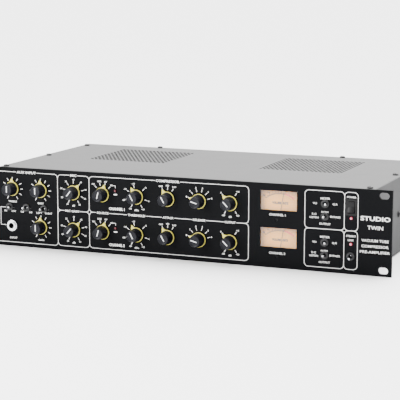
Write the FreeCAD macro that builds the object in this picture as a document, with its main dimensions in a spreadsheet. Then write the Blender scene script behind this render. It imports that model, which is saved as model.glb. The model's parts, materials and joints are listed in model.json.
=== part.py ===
import FreeCAD, Part
import math
import os
import re

import Sketcher
from FreeCAD import Placement, Rotation, Vector

# Two-channel valve compressor in a 19-inch, two-unit rack case.
# X runs along the panel to the right, Y runs back into the case and Z runs up.
# The origin is the centre of the rack-slot pattern on the rear face of the front panel.

# Sizes in millimetres. A size written as text follows the others that it names.
SIZES = {
    # Front panel and its rack slots
    "panel_width": 482.6, "panel_height": 88.1, "panel_thick": 3.0,
    "slot_span": 465.1, "slot_rise": 76.2, "slot_length": 10.3, "slot_width": 7.0,
    # Sheet-metal case: top and bottom are heights above and below the origin
    "case_width": 434.0, "case_depth": 240.0, "case_top": 41.4, "case_bottom": 42.4,
    "sheet_thick": 1.2, "lip_width": 13.0, "flange_width": 11.0, "sheet_gap": 0.1,
    # Case screws
    "screw_head_radius": 3.2, "screw_head_height": 2.2, "screw_radius": 1.45, "screw_length": 6.0,
    "screw_clearance": 0.15, "cover_screw_inset": 6.0, "cover_screw_front": 21.0,
    "cover_screw_back": 18.0,
    "cover_screw_pitch": "=(case_depth - cover_screw_front - cover_screw_back) / 2",
    "rear_screw_x": 117.0, "rear_screw_inset": 4.5,
    "rear_flange_margin": 8.0,
    "side_screw_y": 114.6, "side_screw_rise": 20.0, "side_screw_inset": 8.0,
    # Perforated vents in the cover
    "vent_x": 105.5, "vent_back": 81.0, "vent_y": "=case_depth - vent_back",
    "vent_width": 98.0, "vent_depth": 96.0,
    "vent_pitch": 5.0, "vent_hole_radius": 1.75,
    # Knob columns and rows
    "col_aux_left": -190.2, "col_aux_right": -155.1, "col_gain": -114.6, "col_source": -79.5,
    "col_threshold": -39.2, "col_attack": -3.0, "col_release": 33.0, "col_output": 68.0,
    "row_height": 20.5,
    # Rotary controls, their bushes, nuts and spindles
    "spindle_radius": 3.0, "running_fit": 0.05, "bush_wall": 0.5,
    "bush_radius": "=spindle_radius + bush_wall", "bush_reach": 5.5,
    "hole_clearance": 0.2, "nut_wall": 1.5, "nut_flats": "=2 * (bush_radius + nut_wall)",
    "nut_thick": 2.0, "washer_rim": 1.0, "washer_radius": "=bush_radius + nut_wall + washer_rim",
    "washer_thick": 0.6, "control_depth": 9.5, "pot_width": 16.0, "pot_height": 18.0,
    "switch_radius": 10.0, "spindle_tail": 4.6, "spindle_front": 11.5, "bore_end_gap": 0.4,
    # Knobs: pointer ring below, cap above
    "knob_gap": 0.8, "knob_height": 13.7, "knob_recess_gap": 0.5,
    "knob_recess_rim": 0.4, "knob_recess_radius": "=washer_radius + knob_recess_rim",
    "knob_wall": 1.0, "knob_base_radius": "=knob_recess_radius + knob_wall",
    "knob_taper": 1.4, "knob_front_radius": "=knob_base_radius - knob_taper",
    "ring_rim": 0.5, "ring_radius": "=knob_base_radius + ring_rim", "ring_thick": 1.4,
    "pointer_size": 3.9, "pointer_reach": "=ring_radius + pointer_size",
    # Miniature toggle switches
    "toggle_body_length": 12.7, "toggle_body_width": 6.9, "toggle_ball_radius": 1.9,
    "toggle_ball_gap": 0.5, "toggle_bore_radius": "=toggle_ball_radius + toggle_ball_gap",
    "toggle_bush_wall": 0.6, "toggle_bush_radius": "=toggle_bore_radius + toggle_bush_wall",
    "toggle_nut_rim": 1.1, "toggle_nut_radius": "=toggle_bush_radius + toggle_nut_rim",
    "toggle_nut_thick": 1.4, "toggle_bush_reach": 1.8, "toggle_pivot": 1.0,
    "toggle_root_radius": 0.8, "toggle_tip_radius": 1.3, "toggle_reach": 7.0,
    "toggle_tail": 3.6, "toggle_tail_gap": 0.8, "toggle_throw": 13.0,
    "toggle_x": 171.0, "meter_toggle_z": 26.6, "output_toggle_z": 13.7,
    "meter_toggle_low_z": -13.2, "output_toggle_low_z": -26.5,
    "link_x": 198.7, "link_z": -25.5, "aux_toggle_z": 0.2,
    "aux_toggle_left": -194.0, "aux_toggle_middle": -173.0, "aux_toggle_right": -151.3,
    # Power rocker and its frame
    "power_x": 198.8, "power_z": 24.7, "rocker_width": 7.0, "rocker_height": 11.6,
    "rocker_depth": 6.0, "rocker_proud": 2.4, "rocker_gap": 0.3, "rocker_end_gap": 0.7,
    "frame_wall": 1.2, "bezel_lip": 0.7, "bezel_thick": 1.0, "power_body_depth": 18.0,
    "rocker_pin_radius": 0.9, "rocker_pin_length": 0.7, "rocker_throw": 8.0,
    "rocker_back_room": 2.0,
    # Needle meters
    "meter_x": 121.1, "meter_upper_z": 26.5, "meter_lower_z": -12.2,
    "window_width": 39.4, "window_height": 20.2, "glass_thick": 1.2, "glass_sink": 0.6,
    "housing_wall": 1.5, "housing_depth": 22.0, "housing_side": 2.0, "housing_head": 1.4,
    "housing_drop": 13.4, "dial_depth": 1.7, "dial_thick": 0.6, "dial_gap": 0.3,
    "needle_pivot_drop": 17.9, "needle_length": 26.5, "needle_width": 0.5,
    "needle_thick": 0.3, "needle_depth": 0.55, "needle_hub_radius": 2.0, "needle_tail": 5.0,
    "needle_spindle_radius": 0.5, "needle_spindle_reach": 6.0, "needle_end_gap": 0.5,
    "dial_hole_radius": 1.0,
    "movement_radius": 5.5, "movement_depth": 11.0, "needle_rest": 10.0,
    "trimmer_x": -1.8, "trimmer_drop": 19.95, "trimmer_radius": 1.4, "trimmer_sink": 1.5,
    # Lamps
    "lamp_radius": 1.5, "lamp_flange_radius": 1.9, "lamp_flange_thick": 1.0,
    "lamp_depth": 5.0, "lamp_reach": 0.4,
    "lamp_x": -64.2, "lamp_upper_z": 25.5, "lamp_lower_z": -15.3, "status_lamp_x": 198.8,
    "power_lamp_z": 13.5, "link_lamp_z": -13.0,
    # Jacks, front and rear
    "jack_bore_radius": 3.25, "jack_bush_wall": 1.65,
    "jack_bush_radius": "=jack_bore_radius + jack_bush_wall", "jack_body_width": 15.0,
    "jack_body_depth": 22.0, "jack_bush_reach": 4.0, "jack_nut_rim": 1.2,
    "jack_nut_radius": "=jack_bush_radius + jack_nut_rim",
    "jack_nut_thick": 2.5, "jack_x": -190.4, "jack_z": -20.7, "jack_blind": 2.0,
    "rear_jack_x": 66.0, "rear_jack_pitch": 21.0,
    # Three-pin audio connectors on the rear panel
    "xlr_x": 158.0, "xlr_pitch": 32.0, "xlr_flange_width": 26.0, "xlr_flange_height": 31.0,
    "xlr_flange_thick": 1.5, "xlr_wall": 2.2,
    "xlr_body_radius": "=xlr_socket_radius + xlr_wall", "xlr_body_depth": 20.0,
    "xlr_socket_radius": 9.6, "xlr_socket_depth": 12.0, "xlr_insert_radius": 6.9,
    "xlr_recess_radius": 7.95, "xlr_recess_depth": 14.0, "xlr_pin_radius": 1.2,
    "xlr_pin_length": 11.0, "xlr_pin_circle": 4.4, "xlr_hole_radius": 1.3,
    "xlr_screw_x": 9.5, "xlr_screw_z": 12.0,
    # Mains inlet
    "inlet_x": 10.0, "inlet_flange_width": 48.0, "inlet_flange_height": 24.0,
    "inlet_flange_thick": 2.5, "inlet_side_wall": 1.7, "inlet_top_wall": 1.8,
    "inlet_body_width": "=inlet_recess_width + 2 * inlet_side_wall",
    "inlet_body_height": "=inlet_recess_height + 2 * inlet_top_wall",
    "inlet_body_depth": 22.0, "inlet_recess_width": 24.6, "inlet_recess_height": 16.8,
    "inlet_recess_depth": 16.0, "inlet_blade_width": 2.0, "inlet_blade_height": 4.0,
    "inlet_blade_length": 13.0, "inlet_blade_tail": 1.0, "inlet_blade_x": 7.0,
    "inlet_blade_z": 2.0, "inlet_screw_x": 20.0,
    # Boards and what stands on them
    "board_thick": 1.6, "control_board_left": -202.0, "control_board_right": 90.0,
    "control_board_height": 70.0, "toggle_board_width": 18.0, "standoff_height": 8.0,
    "standoff_radius": 3.0, "board_inner": 52.0, "board_side_gap": 13.0,
    "board_outer": "=case_width / 2 - board_side_gap", "board_front": 55.0,
    "board_rear_gap": 28.0, "board_back": "=case_depth - board_rear_gap",
    "standoff_inset": 6.0, "valve_back": 105.0, "valve_front": "=case_depth - valve_back",
    "valve_pitch": 45.0,
    "socket_radius": 11.0, "socket_height": 8.0, "valve_radius": 10.5, "valve_height": 32.0,
    "glass_wall": 1.0, "electrode_width": 9.0, "electrode_depth": 7.0, "electrode_height": 26.0,
    "capacitor_radius": 11.0, "capacitor_height": 40.0, "capacitor_x": 180.0,
    "capacitor_front": 80.0, "capacitor_pitch": 26.0,
    "ribbon_width": 24.0, "ribbon_thick": 1.0, "ribbon_x": 74.0, "ribbon_drop": 27.0,
    "ribbon_landing": 62.0,
    # Heat sinks on the case sides
    "sink_thick": 3.0, "sink_length": 60.0, "sink_height": 40.0, "sink_foot": 14.0,
    "regulator_width": 10.0, "regulator_height": 15.0, "regulator_thick": 4.5,
    "regulator_offset": 18.0,
    # Toroidal transformer and its fixing
    "transformer_back": 100.0, "transformer_y": "=case_depth - transformer_back",
    "transformer_radius": 45.0, "transformer_bore": 13.0,
    "transformer_height": 36.0, "pad_thick": 2.0, "clamp_radius": 30.0, "clamp_thick": 1.5,
    "clamp_bolt_radius": 3.0, "clamp_nut_radius": 5.8, "clamp_nut_height": 5.0,
    "clamp_bolt_end": 2.0,
    # Studs that hold the panel to the tray
    "stud_radius": 2.0, "stud_length": 8.0, "stud_nut_radius": 4.0, "stud_nut_thick": 3.2,
    "stud_inset": 5.5, "stud_rise": 30.0,
    # How far a cutting tool reaches past what it cuts
    "overshoot": 1.0,
}

# Rotary controls: name, column, row (+1 upper, -1 lower), kind and pointer angle at rest,
# in degrees clockwise from the top as seen from the front.
CONTROLS = [
    ("aux_bass", "col_aux_left", 1, "pot", 0.0),
    ("aux_treble", "col_aux_right", 1, "pot", 0.0),
    ("aux_gain", "col_aux_right", -1, "pot", 0.0),
    ("gain_1", "col_gain", 1, "pot", 38.0),
    ("source_1", "col_source", 1, "switch", 15.0),
    ("threshold_1", "col_threshold", 1, "pot", -30.0),
    ("attack_1", "col_attack", 1, "switch", -30.0),
    ("release_1", "col_release", 1, "switch", -75.0),
    ("output_1", "col_output", 1, "pot", -45.0),
    ("gain_2", "col_gain", -1, "pot", 40.0),
    ("source_2", "col_source", -1, "switch", 15.0),
    ("threshold_2", "col_threshold", -1, "pot", -28.0),
    ("attack_2", "col_attack", -1, "switch", -30.0),
    ("release_2", "col_release", -1, "switch", -75.0),
    ("output_2", "col_output", -1, "pot", -45.0),
]

# Toggle switches: name, place across, place up, way it moves and lean at rest (in throws).
TOGGLES = [
    ("meter_toggle_1", "toggle_x", "meter_toggle_z", "across", 1),
    ("output_toggle_1", "toggle_x", "output_toggle_z", "across", 0),
    ("meter_toggle_2", "toggle_x", "meter_toggle_low_z", "across", 1),
    ("output_toggle_2", "toggle_x", "output_toggle_low_z", "across", 0),
    ("link_toggle", "link_x", "link_z", "upright", 1),
    ("aux_toggle_1", "aux_toggle_left", "aux_toggle_z", "across", 1),
    ("aux_toggle_2", "aux_toggle_middle", "aux_toggle_z", "across", -1),
    ("aux_toggle_3", "aux_toggle_right", "aux_toggle_z", "across", -1),
]

METERS = [("1", "meter_upper_z"), ("2", "meter_lower_z")]
LAMPS = [("lamp_x", "lamp_upper_z"), ("lamp_x", "lamp_lower_z"),
         ("status_lamp_x", "power_lamp_z"), ("status_lamp_x", "link_lamp_z")]
SIDES = [("left", -1), ("right", 1)]

ALONG_X = Rotation(Vector(0, 1, 0), 90)
ALONG_Y = Rotation(Vector(1, 0, 0), -90)
ALONG_Z = Rotation()
FORWARD = Rotation(Vector(1, 0, 0), 90)
LEFTWARD = Rotation(Vector(0, 1, 0), -90)
POINTER_TURN = Rotation(Vector(1, 1, 1), 240)

doc = FreeCAD.newDocument("rack_compressor")
sheet = doc.addObject("Spreadsheet::Sheet", "sizes")
nodes = []


def fill_sheet():
    for line, (alias, value) in enumerate(SIZES.items(), 1):
        sheet.set(f"A{line}", alias)
        sheet.set(f"B{line}", str(value))
        sheet.setAlias(f"B{line}", alias)
    doc.recompute()


def linked(formula):
    """Point each size named in a formula at its cell in the sheet."""
    return re.sub(r"[a-z][a-z_]+", lambda word: cell_name(word.group(0)), str(formula))


def cell_name(word):
    return "sizes." + word if word in SIZES else word


def value(formula):
    """The present value of a formula, used only to start a sketch near its final shape."""
    return float(probe.evalExpression(linked(formula)))


def bind(item, prop, formula):
    item.setExpression(prop, linked(formula))


def place(item, at, turn=ALONG_Z):
    item.Placement = Placement(Vector(0, 0, 0), turn)
    for axis, formula in zip("xyz", at):
        bind(item, "Placement.Base." + axis, formula)
    return item


def box(name, corner, sides):
    item = doc.addObject("Part::Box", name)
    for prop, formula in zip(("Length", "Width", "Height"), sides):
        bind(item, prop, formula)
    return place(item, corner)


def plate(name, middle, sides):
    """A box given by its middle."""
    corner = [f"({centre}) - ({side}) / 2" for centre, side in zip(middle, sides)]
    return box(name, corner, sides)


def rod(name, start, radius, length, turn=ALONG_Y):
    item = doc.addObject("Part::Cylinder", name)
    bind(item, "Radius", radius)
    bind(item, "Height", length)
    return place(item, start, turn)


def cone(name, start, first_radius, last_radius, length, turn):
    item = doc.addObject("Part::Cone", name)
    bind(item, "Radius1", first_radius)
    bind(item, "Radius2", last_radius)
    bind(item, "Height", length)
    return place(item, start, turn)


def ball(name, centre, radius):
    item = doc.addObject("Part::Sphere", name)
    bind(item, "Radius", radius)
    return place(item, centre)


def prism(name, start, corners, radius, length, turn):
    item = doc.addObject("Part::Prism", name)
    item.Polygon = corners
    bind(item, "Circumradius", radius)
    bind(item, "Height", length)
    return place(item, start, turn)


def group(name, items):
    item = doc.addObject("Part::Compound", name)
    item.Links = items
    return item


def fuse(name, items):
    item = doc.addObject("Part::MultiFuse", name)
    item.Shapes = items
    return item


def cut(name, base, tools):
    item = doc.addObject("Part::Cut", name)
    item.Base = base
    item.Tool = tools[0] if len(tools) == 1 else group(name + "_tools", tools)
    return item


def node(item, label):
    item.Label = label
    nodes.append(item)
    return item


# ---- sketch helpers -------------------------------------------------------------------

def start_body(name):
    return doc.addObject("PartDesign::Body", name)


def start_sketch(body, name, distance="0"):
    """A sketch on the body's own upright plane, moved back by a distance along Y."""
    sketch = body.newObject("Sketcher::SketchObject", name)
    upright = next(item for item in body.Origin.OriginFeatures if item.Role == "XZ_Plane")
    sketch.AttachmentSupport = [(upright, "")]
    sketch.MapMode = "FlatFace"
    bind(sketch, "AttachmentOffset.Base.z", f"-({distance})")
    return sketch


def hold(sketch, constraint, formula):
    index = sketch.addConstraint(constraint)
    bind(sketch, f"Constraints[{index}]", formula)


def sketch_circle(sketch, across, up, radius):
    centre = Vector(value(across), value(up), 0)
    index = sketch.addGeometry(Part.Circle(centre, Vector(0, 0, 1), value(radius)))
    hold(sketch, Sketcher.Constraint("Radius", index, value(radius)), radius)
    hold(sketch, Sketcher.Constraint("DistanceX", -1, 1, index, 3, centre.x), across)
    hold(sketch, Sketcher.Constraint("DistanceY", -1, 1, index, 3, centre.y), up)


def sketch_rectangle(sketch, across, up, width, height):
    """A rectangle given by its middle."""
    left = f"({across}) - ({width}) / 2"
    low = f"({up}) - ({height}) / 2"
    x0, y0 = value(left), value(low)
    x1, y1 = x0 + value(width), y0 + value(height)
    corners = [Vector(x0, y0, 0), Vector(x1, y0, 0), Vector(x1, y1, 0), Vector(x0, y1, 0)]
    lines = []
    for index in range(4):
        lines.append(sketch.addGeometry(Part.LineSegment(corners[index], corners[(index + 1) % 4])))
    for index in range(4):
        ends = (lines[index], 2, lines[(index + 1) % 4], 1)
        sketch.addConstraint(Sketcher.Constraint("Coincident", *ends))
    for index, way in enumerate(("Horizontal", "Vertical", "Horizontal", "Vertical")):
        sketch.addConstraint(Sketcher.Constraint(way, lines[index]))
    hold(sketch, Sketcher.Constraint("DistanceX", lines[0], 1, lines[0], 2, x1 - x0), width)
    hold(sketch, Sketcher.Constraint("DistanceY", lines[1], 1, lines[1], 2, y1 - y0), height)
    hold(sketch, Sketcher.Constraint("DistanceX", -1, 1, lines[0], 1, x0), left)
    hold(sketch, Sketcher.Constraint("DistanceY", -1, 1, lines[0], 1, y0), low)


def sketch_slot(sketch, across, up, length, width):
    """A round-ended slot that lies across."""
    radius = value(width) / 2
    reach = value(length) / 2 - radius
    x, y = value(across), value(up)
    left = Part.Circle(Vector(x - reach, y, 0), Vector(0, 0, 1), radius)
    right = Part.Circle(Vector(x + reach, y, 0), Vector(0, 0, 1), radius)
    quarter = math.pi / 2
    arc_left = sketch.addGeometry(Part.ArcOfCircle(left, quarter, 3 * quarter))
    arc_right = sketch.addGeometry(Part.ArcOfCircle(right, -quarter, quarter))
    top = (Vector(x - reach, y + radius, 0), Vector(x + reach, y + radius, 0))
    base = (Vector(x - reach, y - radius, 0), Vector(x + reach, y - radius, 0))
    line_top = sketch.addGeometry(Part.LineSegment(*top))
    line_base = sketch.addGeometry(Part.LineSegment(*base))
    for ends in ((arc_left, 1, line_top, 1), (line_top, 2, arc_right, 2),
                 (arc_right, 1, line_base, 2), (line_base, 1, arc_left, 2)):
        sketch.addConstraint(Sketcher.Constraint("Tangent", *ends))
    sketch.addConstraint(Sketcher.Constraint("Horizontal", line_top))
    hold(sketch, Sketcher.Constraint("Radius", arc_left, radius), f"({width}) / 2")
    hold(sketch, Sketcher.Constraint("DistanceX", arc_left, 3, arc_right, 3, 2 * reach),
         f"({length}) - ({width})")
    hold(sketch, Sketcher.Constraint("DistanceX", -1, 1, arc_left, 3, x - reach),
         f"({across}) - (({length}) - ({width})) / 2")
    hold(sketch, Sketcher.Constraint("DistanceY", -1, 1, arc_left, 3, y), up)


def pad(body, sketch, thickness):
    """Thicken a sketch towards the front."""
    feature = body.newObject("PartDesign::Pad", sketch.Name + "_pad")
    feature.Profile = sketch
    bind(feature, "Length", thickness)
    body.Tip = feature


def pierce(body, sketch):
    """Cut a sketch through everything in front of it."""
    feature = body.newObject("PartDesign::Pocket", sketch.Name + "_pocket")
    feature.Profile = sketch
    feature.Type = "ThroughAll"
    feature.Reversed = True
    body.Tip = feature


# ---- case -----------------------------------------------------------------------------

def control_place(control):
    name, column, row, kind, angle = control
    return column, f"{row} * row_height"


def make_front_panel():
    body = start_body("front_panel_body")
    outline = start_sketch(body, "panel_outline")
    sketch_rectangle(outline, "0", "0", "panel_width", "panel_height")
    pad(body, outline, "panel_thick")
    holes = start_sketch(body, "panel_holes")
    for across in (-1, 1):
        for up in (-1, 1):
            sketch_slot(holes, f"{across} * slot_span / 2", f"{up} * slot_rise / 2",
                        "slot_length", "slot_width")
    for control in CONTROLS:
        across, up = control_place(control)
        sketch_circle(holes, across, up, "bush_radius + hole_clearance")
    for name, across, up, way, lean in TOGGLES:
        sketch_circle(holes, across, up, "toggle_bush_radius + hole_clearance")
    for across, up in LAMPS:
        sketch_circle(holes, across, up, "lamp_radius + hole_clearance / 2")
    for number, up in METERS:
        sketch_rectangle(holes, "meter_x", up, "window_width", "window_height")
        sketch_circle(holes, "meter_x + trimmer_x", f"{up} - trimmer_drop",
                      "trimmer_radius")
    sketch_rectangle(holes, "power_x", "power_z", sleeve_width(), sleeve_height())
    sketch_circle(holes, "jack_x", "jack_z", "jack_bush_radius + hole_clearance")
    pierce(body, holes)
    node(body, "front_panel")


def make_tray():
    width = "case_width"
    inside_height = "case_top + case_bottom - 2 * sheet_thick"
    walls = [box("tray_floor", [f"-{width} / 2", "0", "-case_bottom"],
                 [width, "case_depth", "sheet_thick"])]
    for side, sign in SIDES:
        wall_x = f"{sign} * (case_width / 2 - sheet_thick / 2)"
        walls.append(plate(f"tray_side_{side}", [wall_x, "case_depth / 2", middle_height()],
                           ["sheet_thick", "case_depth", inside_height]))
        lip_x = f"{sign} * (case_width / 2 - lip_width / 2)"
        lip_z = "case_top - 1.5 * sheet_thick"
        lip_length = "case_depth - sheet_thick"
        walls.append(plate(f"tray_lip_{side}", [lip_x, f"({lip_length}) / 2", lip_z],
                           ["lip_width", lip_length, "sheet_thick"]))
        flange_x = f"{sign} * (case_width / 2 - flange_width / 2)"
        walls.append(plate(f"tray_flange_{side}", [flange_x, "sheet_thick / 2", middle_height()],
                           ["flange_width", "sheet_thick", inside_height]))
    tools = []
    for index, (at, turn) in enumerate(case_screw_places()):
        tools.append(screw_hole(f"tray_screw_hole_{index}", at, turn, "0"))
    for index, (across, up) in enumerate(stud_places()):
        tools.append(rod(f"tray_stud_hole_{index}", [across, "-overshoot", up],
                         "stud_radius + hole_clearance", "sheet_thick + 2 * overshoot"))
    tools.append(rod("tray_bolt_hole", ["0", "transformer_y", "-case_bottom - overshoot"],
                     "clamp_bolt_radius + hole_clearance", "sheet_thick + 2 * overshoot",
                     ALONG_Z))
    node(cut("tray", fuse("tray_walls", walls), tools), "chassis_tray")


def middle_height():
    return "(case_top - case_bottom) / 2"


def case_screw_places():
    """Where each case screw's head sits, and which way its shank points in from there."""
    places = []
    for side, sign in SIDES:
        across = f"{sign} * (case_width / 2 - cover_screw_inset)"
        for step in range(3):
            back = f"cover_screw_front + {step} * cover_screw_pitch"
            places.append(([across, back, "case_top"], ALONG_Z))
        rear = [f"{sign} * rear_screw_x", "case_depth - rear_screw_inset", "case_top"]
        places.append((rear, ALONG_Z))
        turn = ALONG_X if sign > 0 else LEFTWARD
        wall = f"{sign} * case_width / 2"
        places.append(([wall, "side_screw_y", "0"], turn))
        for up in (-1, 1):
            back = "case_depth - side_screw_inset"
            places.append(([wall, back, f"{up} * side_screw_rise"], turn))
    return places


def screw_hole(name, at, turn, clearance):
    """A tool for a screw's hole, longer than the screw on the inside."""
    tool = rod(name + "_rod", ["0", "0", "-screw_length"], f"screw_radius + {clearance}",
               "screw_length + overshoot", ALONG_Z)
    return place(group(name, [tool]), at, turn)


def make_rear_panel():
    plate_width = "case_width - 2 * sheet_thick - 2 * sheet_gap"
    plate_height = "case_top + case_bottom - 2 * sheet_thick"
    body = start_body("rear_sheet")
    outline = start_sketch(body, "rear_outline", "case_depth")
    sketch_rectangle(outline, "0", middle_height(), plate_width, plate_height)
    pad(body, outline, "sheet_thick")
    holes = start_sketch(body, "rear_holes", "case_depth")
    for across in rear_jack_places():
        sketch_circle(holes, across, "0", "jack_bush_radius + hole_clearance")
    for across, kind in xlr_places():
        sketch_circle(holes, across, "0", "xlr_body_radius + hole_clearance")
        for sign in (-1, 1):
            sketch_circle(holes, f"{across} + {sign} * xlr_screw_x", f"{sign} * xlr_screw_z",
                          "screw_radius")
    sketch_rectangle(holes, "inlet_x", "0", "inlet_body_width + 2 * hole_clearance",
                     "inlet_body_height + 2 * hole_clearance")
    for sign in (-1, 1):
        sketch_circle(holes, f"inlet_x + {sign} * inlet_screw_x", "0", "screw_radius")
    pierce(body, holes)
    flange_y = "case_depth - sheet_thick - lip_width / 2"
    top_width = "case_width - 2 * lip_width - 2 * sheet_gap"
    parts = [body, plate("rear_top_flange", ["0", flange_y, "case_top - 1.5 * sheet_thick"],
                         [top_width, "lip_width", "sheet_thick"])]
    for side, sign in SIDES:
        across = f"{sign} * (case_width / 2 - 1.5 * sheet_thick - sheet_gap)"
        parts.append(plate(f"rear_flange_{side}", [across, flange_y, "0"],
                           ["sheet_thick", "lip_width",
                            "2 * (side_screw_rise + rear_flange_margin)"]))
    tools = []
    for index, (at, turn) in enumerate(case_screw_places()):
        tools.append(screw_hole(f"rear_screw_hole_{index}", at, turn, "0"))
    node(cut("rear_panel_cut", fuse("rear_walls", parts), tools), "rear_panel")


def vent_holes(sign):
    """Centres of one vent's staggered holes, symmetric about the vent's middle."""
    pitch = float(sheet.vent_pitch)
    radius = float(sheet.vent_hole_radius)
    row_pitch = pitch * math.sin(math.radians(60))
    row_count = int((float(sheet.vent_depth) - 2 * radius) / row_pitch) + 1
    column_count = int((float(sheet.vent_width) - 2 * radius - pitch / 2) / pitch) + 1
    centres = []
    for row in range(row_count):
        shift = pitch / 4 if row % 2 else -pitch / 4
        back = float(sheet.vent_y) + (row - (row_count - 1) / 2) * row_pitch
        for column in range(column_count):
            across = (column - (column_count - 1) / 2) * pitch + shift
            centres.append((sign * (float(sheet.vent_x) + across), back))
    return centres


def make_top_cover():
    """The cover has too many vent holes for one cut each, so its outline is made with them."""
    half = float(sheet.case_width) / 2
    depth = float(sheet.case_depth)
    top = float(sheet.case_top)
    low = top - float(sheet.sheet_thick)
    outline = Part.makePolygon([Vector(-half, 0, low), Vector(half, 0, low),
                                Vector(half, depth, low), Vector(-half, depth, low),
                                Vector(-half, 0, low)])
    rings = []
    for side, sign in SIDES:
        for across, back in vent_holes(sign):
            edge = Part.makeCircle(float(sheet.vent_hole_radius), Vector(across, back, low))
            rings.append(Part.Wire([edge]))
    screw_ring = float(sheet.screw_radius) + float(sheet.screw_clearance)
    for at, turn in case_screw_places():
        if turn == ALONG_Z:
            centre = Vector(value(at[0]), value(at[1]), low)
            rings.append(Part.Wire([Part.makeCircle(screw_ring, centre)]))
    face = Part.makeFace([Part.Wire(outline)] + rings, "Part::FaceMakerBullseye")
    cover = doc.addObject("Part::Feature", "cover_sheet")
    cover.Shape = face.extrude(Vector(0, 0, float(sheet.sheet_thick)))
    cover.Placement = Placement(Vector(0, 0, 0), ALONG_Z)
    node(cover, "top_cover")


def make_screw(name, at, turn):
    head = rod(name + "_head", ["0", "0", "0"], "screw_head_radius", "screw_head_height", ALONG_Z)
    shank = rod(name + "_shank", ["0", "0", "-screw_length"], "screw_radius",
                "screw_length + screw_head_height / 2", ALONG_Z)
    return place(fuse(name, [head, shank]), at, turn)


def make_case_screws():
    screws = []
    for index, (at, turn) in enumerate(case_screw_places()):
        screws.append(make_screw(f"case_screw_{index}", at, turn))
    node(group("case_screw_set", screws), "case_screws")


def stud_places():
    places = []
    for side, sign in SIDES:
        for up in (-1, 1):
            places.append((f"{sign} * (case_width / 2 - stud_inset)", f"{up} * stud_rise"))
    return places


def make_panel_fixings():
    pieces = []
    for index, (across, up) in enumerate(stud_places()):
        pieces.append(rod(f"stud_{index}", [across, "0", up], "stud_radius", "stud_length"))
        nut = prism(f"stud_nut_body_{index}", [across, "sheet_thick", up], 6, "stud_nut_radius",
                    "stud_nut_thick", ALONG_Y)
        hole = rod(f"stud_nut_bore_{index}", [across, "0", up], "stud_radius", "stud_length")
        pieces.append(cut(f"stud_nut_{index}", nut, [hole]))
    node(group("panel_fixing_set", pieces), "panel_fixings")


# ---- rotary controls and knobs --------------------------------------------------------

def make_control(control):
    name, column, row, kind, angle = control
    across, up = control_place(control)
    bush = rod(name + "_bush", ["0", "-panel_thick - bush_reach", "0"], "bush_radius",
               "panel_thick + bush_reach + control_depth / 2")
    if kind == "pot":
        shell = box(name + "_shell", ["-pot_width / 2", "0", "-pot_height / 2"],
                    ["pot_width", "control_depth", "pot_height"])
    else:
        shell = rod(name + "_shell", ["0", "0", "0"], "switch_radius", "control_depth")
    bore = rod(name + "_bore", ["0", "-panel_thick - bush_reach - overshoot", "0"],
               "spindle_radius + running_fit",
               "panel_thick + bush_reach + overshoot + spindle_tail + bore_end_gap")
    item = cut(name + "_control", fuse(name + "_case", [shell, bush]), [bore])
    return place(item, [across, "0", up])


def make_controls():
    pots = [make_control(control) for control in CONTROLS if control[3] == "pot"]
    node(group("pot_set", pots), "potentiometers")
    switches = [make_control(control) for control in CONTROLS if control[3] == "switch"]
    node(group("switch_set", switches), "rotary_switches")


def control_nuts():
    """A washer and a hexagon nut on each rotary control's bush."""
    nuts = []
    for control in CONTROLS:
        name = control[0]
        across, up = control_place(control)
        washer = rod(name + "_washer", [across, "-panel_thick - washer_thick", up],
                     "washer_radius", "washer_thick")
        nut = prism(name + "_nut", [across, "-panel_thick - washer_thick - nut_thick", up], 6,
                    "nut_flats / sqrt(3)", "nut_thick", ALONG_Y)
        hole = rod(name + "_nut_hole", [across, "-panel_thick - bush_reach", up], "bush_radius",
                   "bush_reach")
        nuts.append(cut(name + "_washer_ring", washer, [hole]))
        nuts.append(cut(name + "_nut_ring", nut, [hole]))
    return nuts


def make_knob(control):
    """Cap, pointer ring and spindle of one knob, turned to its pointer angle."""
    name, column, row, kind, angle = control
    across, up = control_place(control)
    ring_back = "-panel_thick - knob_gap"
    ring_front = "-panel_thick - knob_gap - ring_thick"
    cap_front = "-panel_thick - knob_height"
    recess_front = "-panel_thick - bush_reach - knob_recess_gap"
    disc = rod(name + "_disc", ["0", ring_front, "0"], "ring_radius", "ring_thick")
    arrow = prism(name + "_arrow", ["0", ring_front, "pointer_reach - pointer_size"], 3,
                  "pointer_size", "ring_thick", POINTER_TURN)
    eye = rod(name + "_eye", ["0", recess_front, "0"], "knob_recess_radius", "knob_recess_gap"
              " + bush_reach")
    ring = cut(name + "_ring", fuse(name + "_flag", [disc, arrow]), [eye])
    shell = cone(name + "_shell", ["0", ring_front, "0"], "knob_base_radius",
                 "knob_front_radius", "knob_height - knob_gap - ring_thick", FORWARD)
    spindle_start = "-panel_thick - spindle_front"
    socket = rod(name + "_socket", ["0", spindle_start, "0"], "spindle_radius",
                 f"({ring_back}) - ({spindle_start})")
    cap = cut(name + "_cap", shell, [fuse(name + "_hollow", [eye, socket])])
    spindle = rod(name + "_spindle", ["0", spindle_start, "0"], "spindle_radius",
                  f"spindle_tail - ({spindle_start})")
    knob = group(name + "_pieces", [cap, ring, spindle])
    node(place(knob, [across, "0", up], Rotation(Vector(0, 1, 0), angle)), "knob_" + name)


# ---- toggle switches ------------------------------------------------------------------

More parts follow.
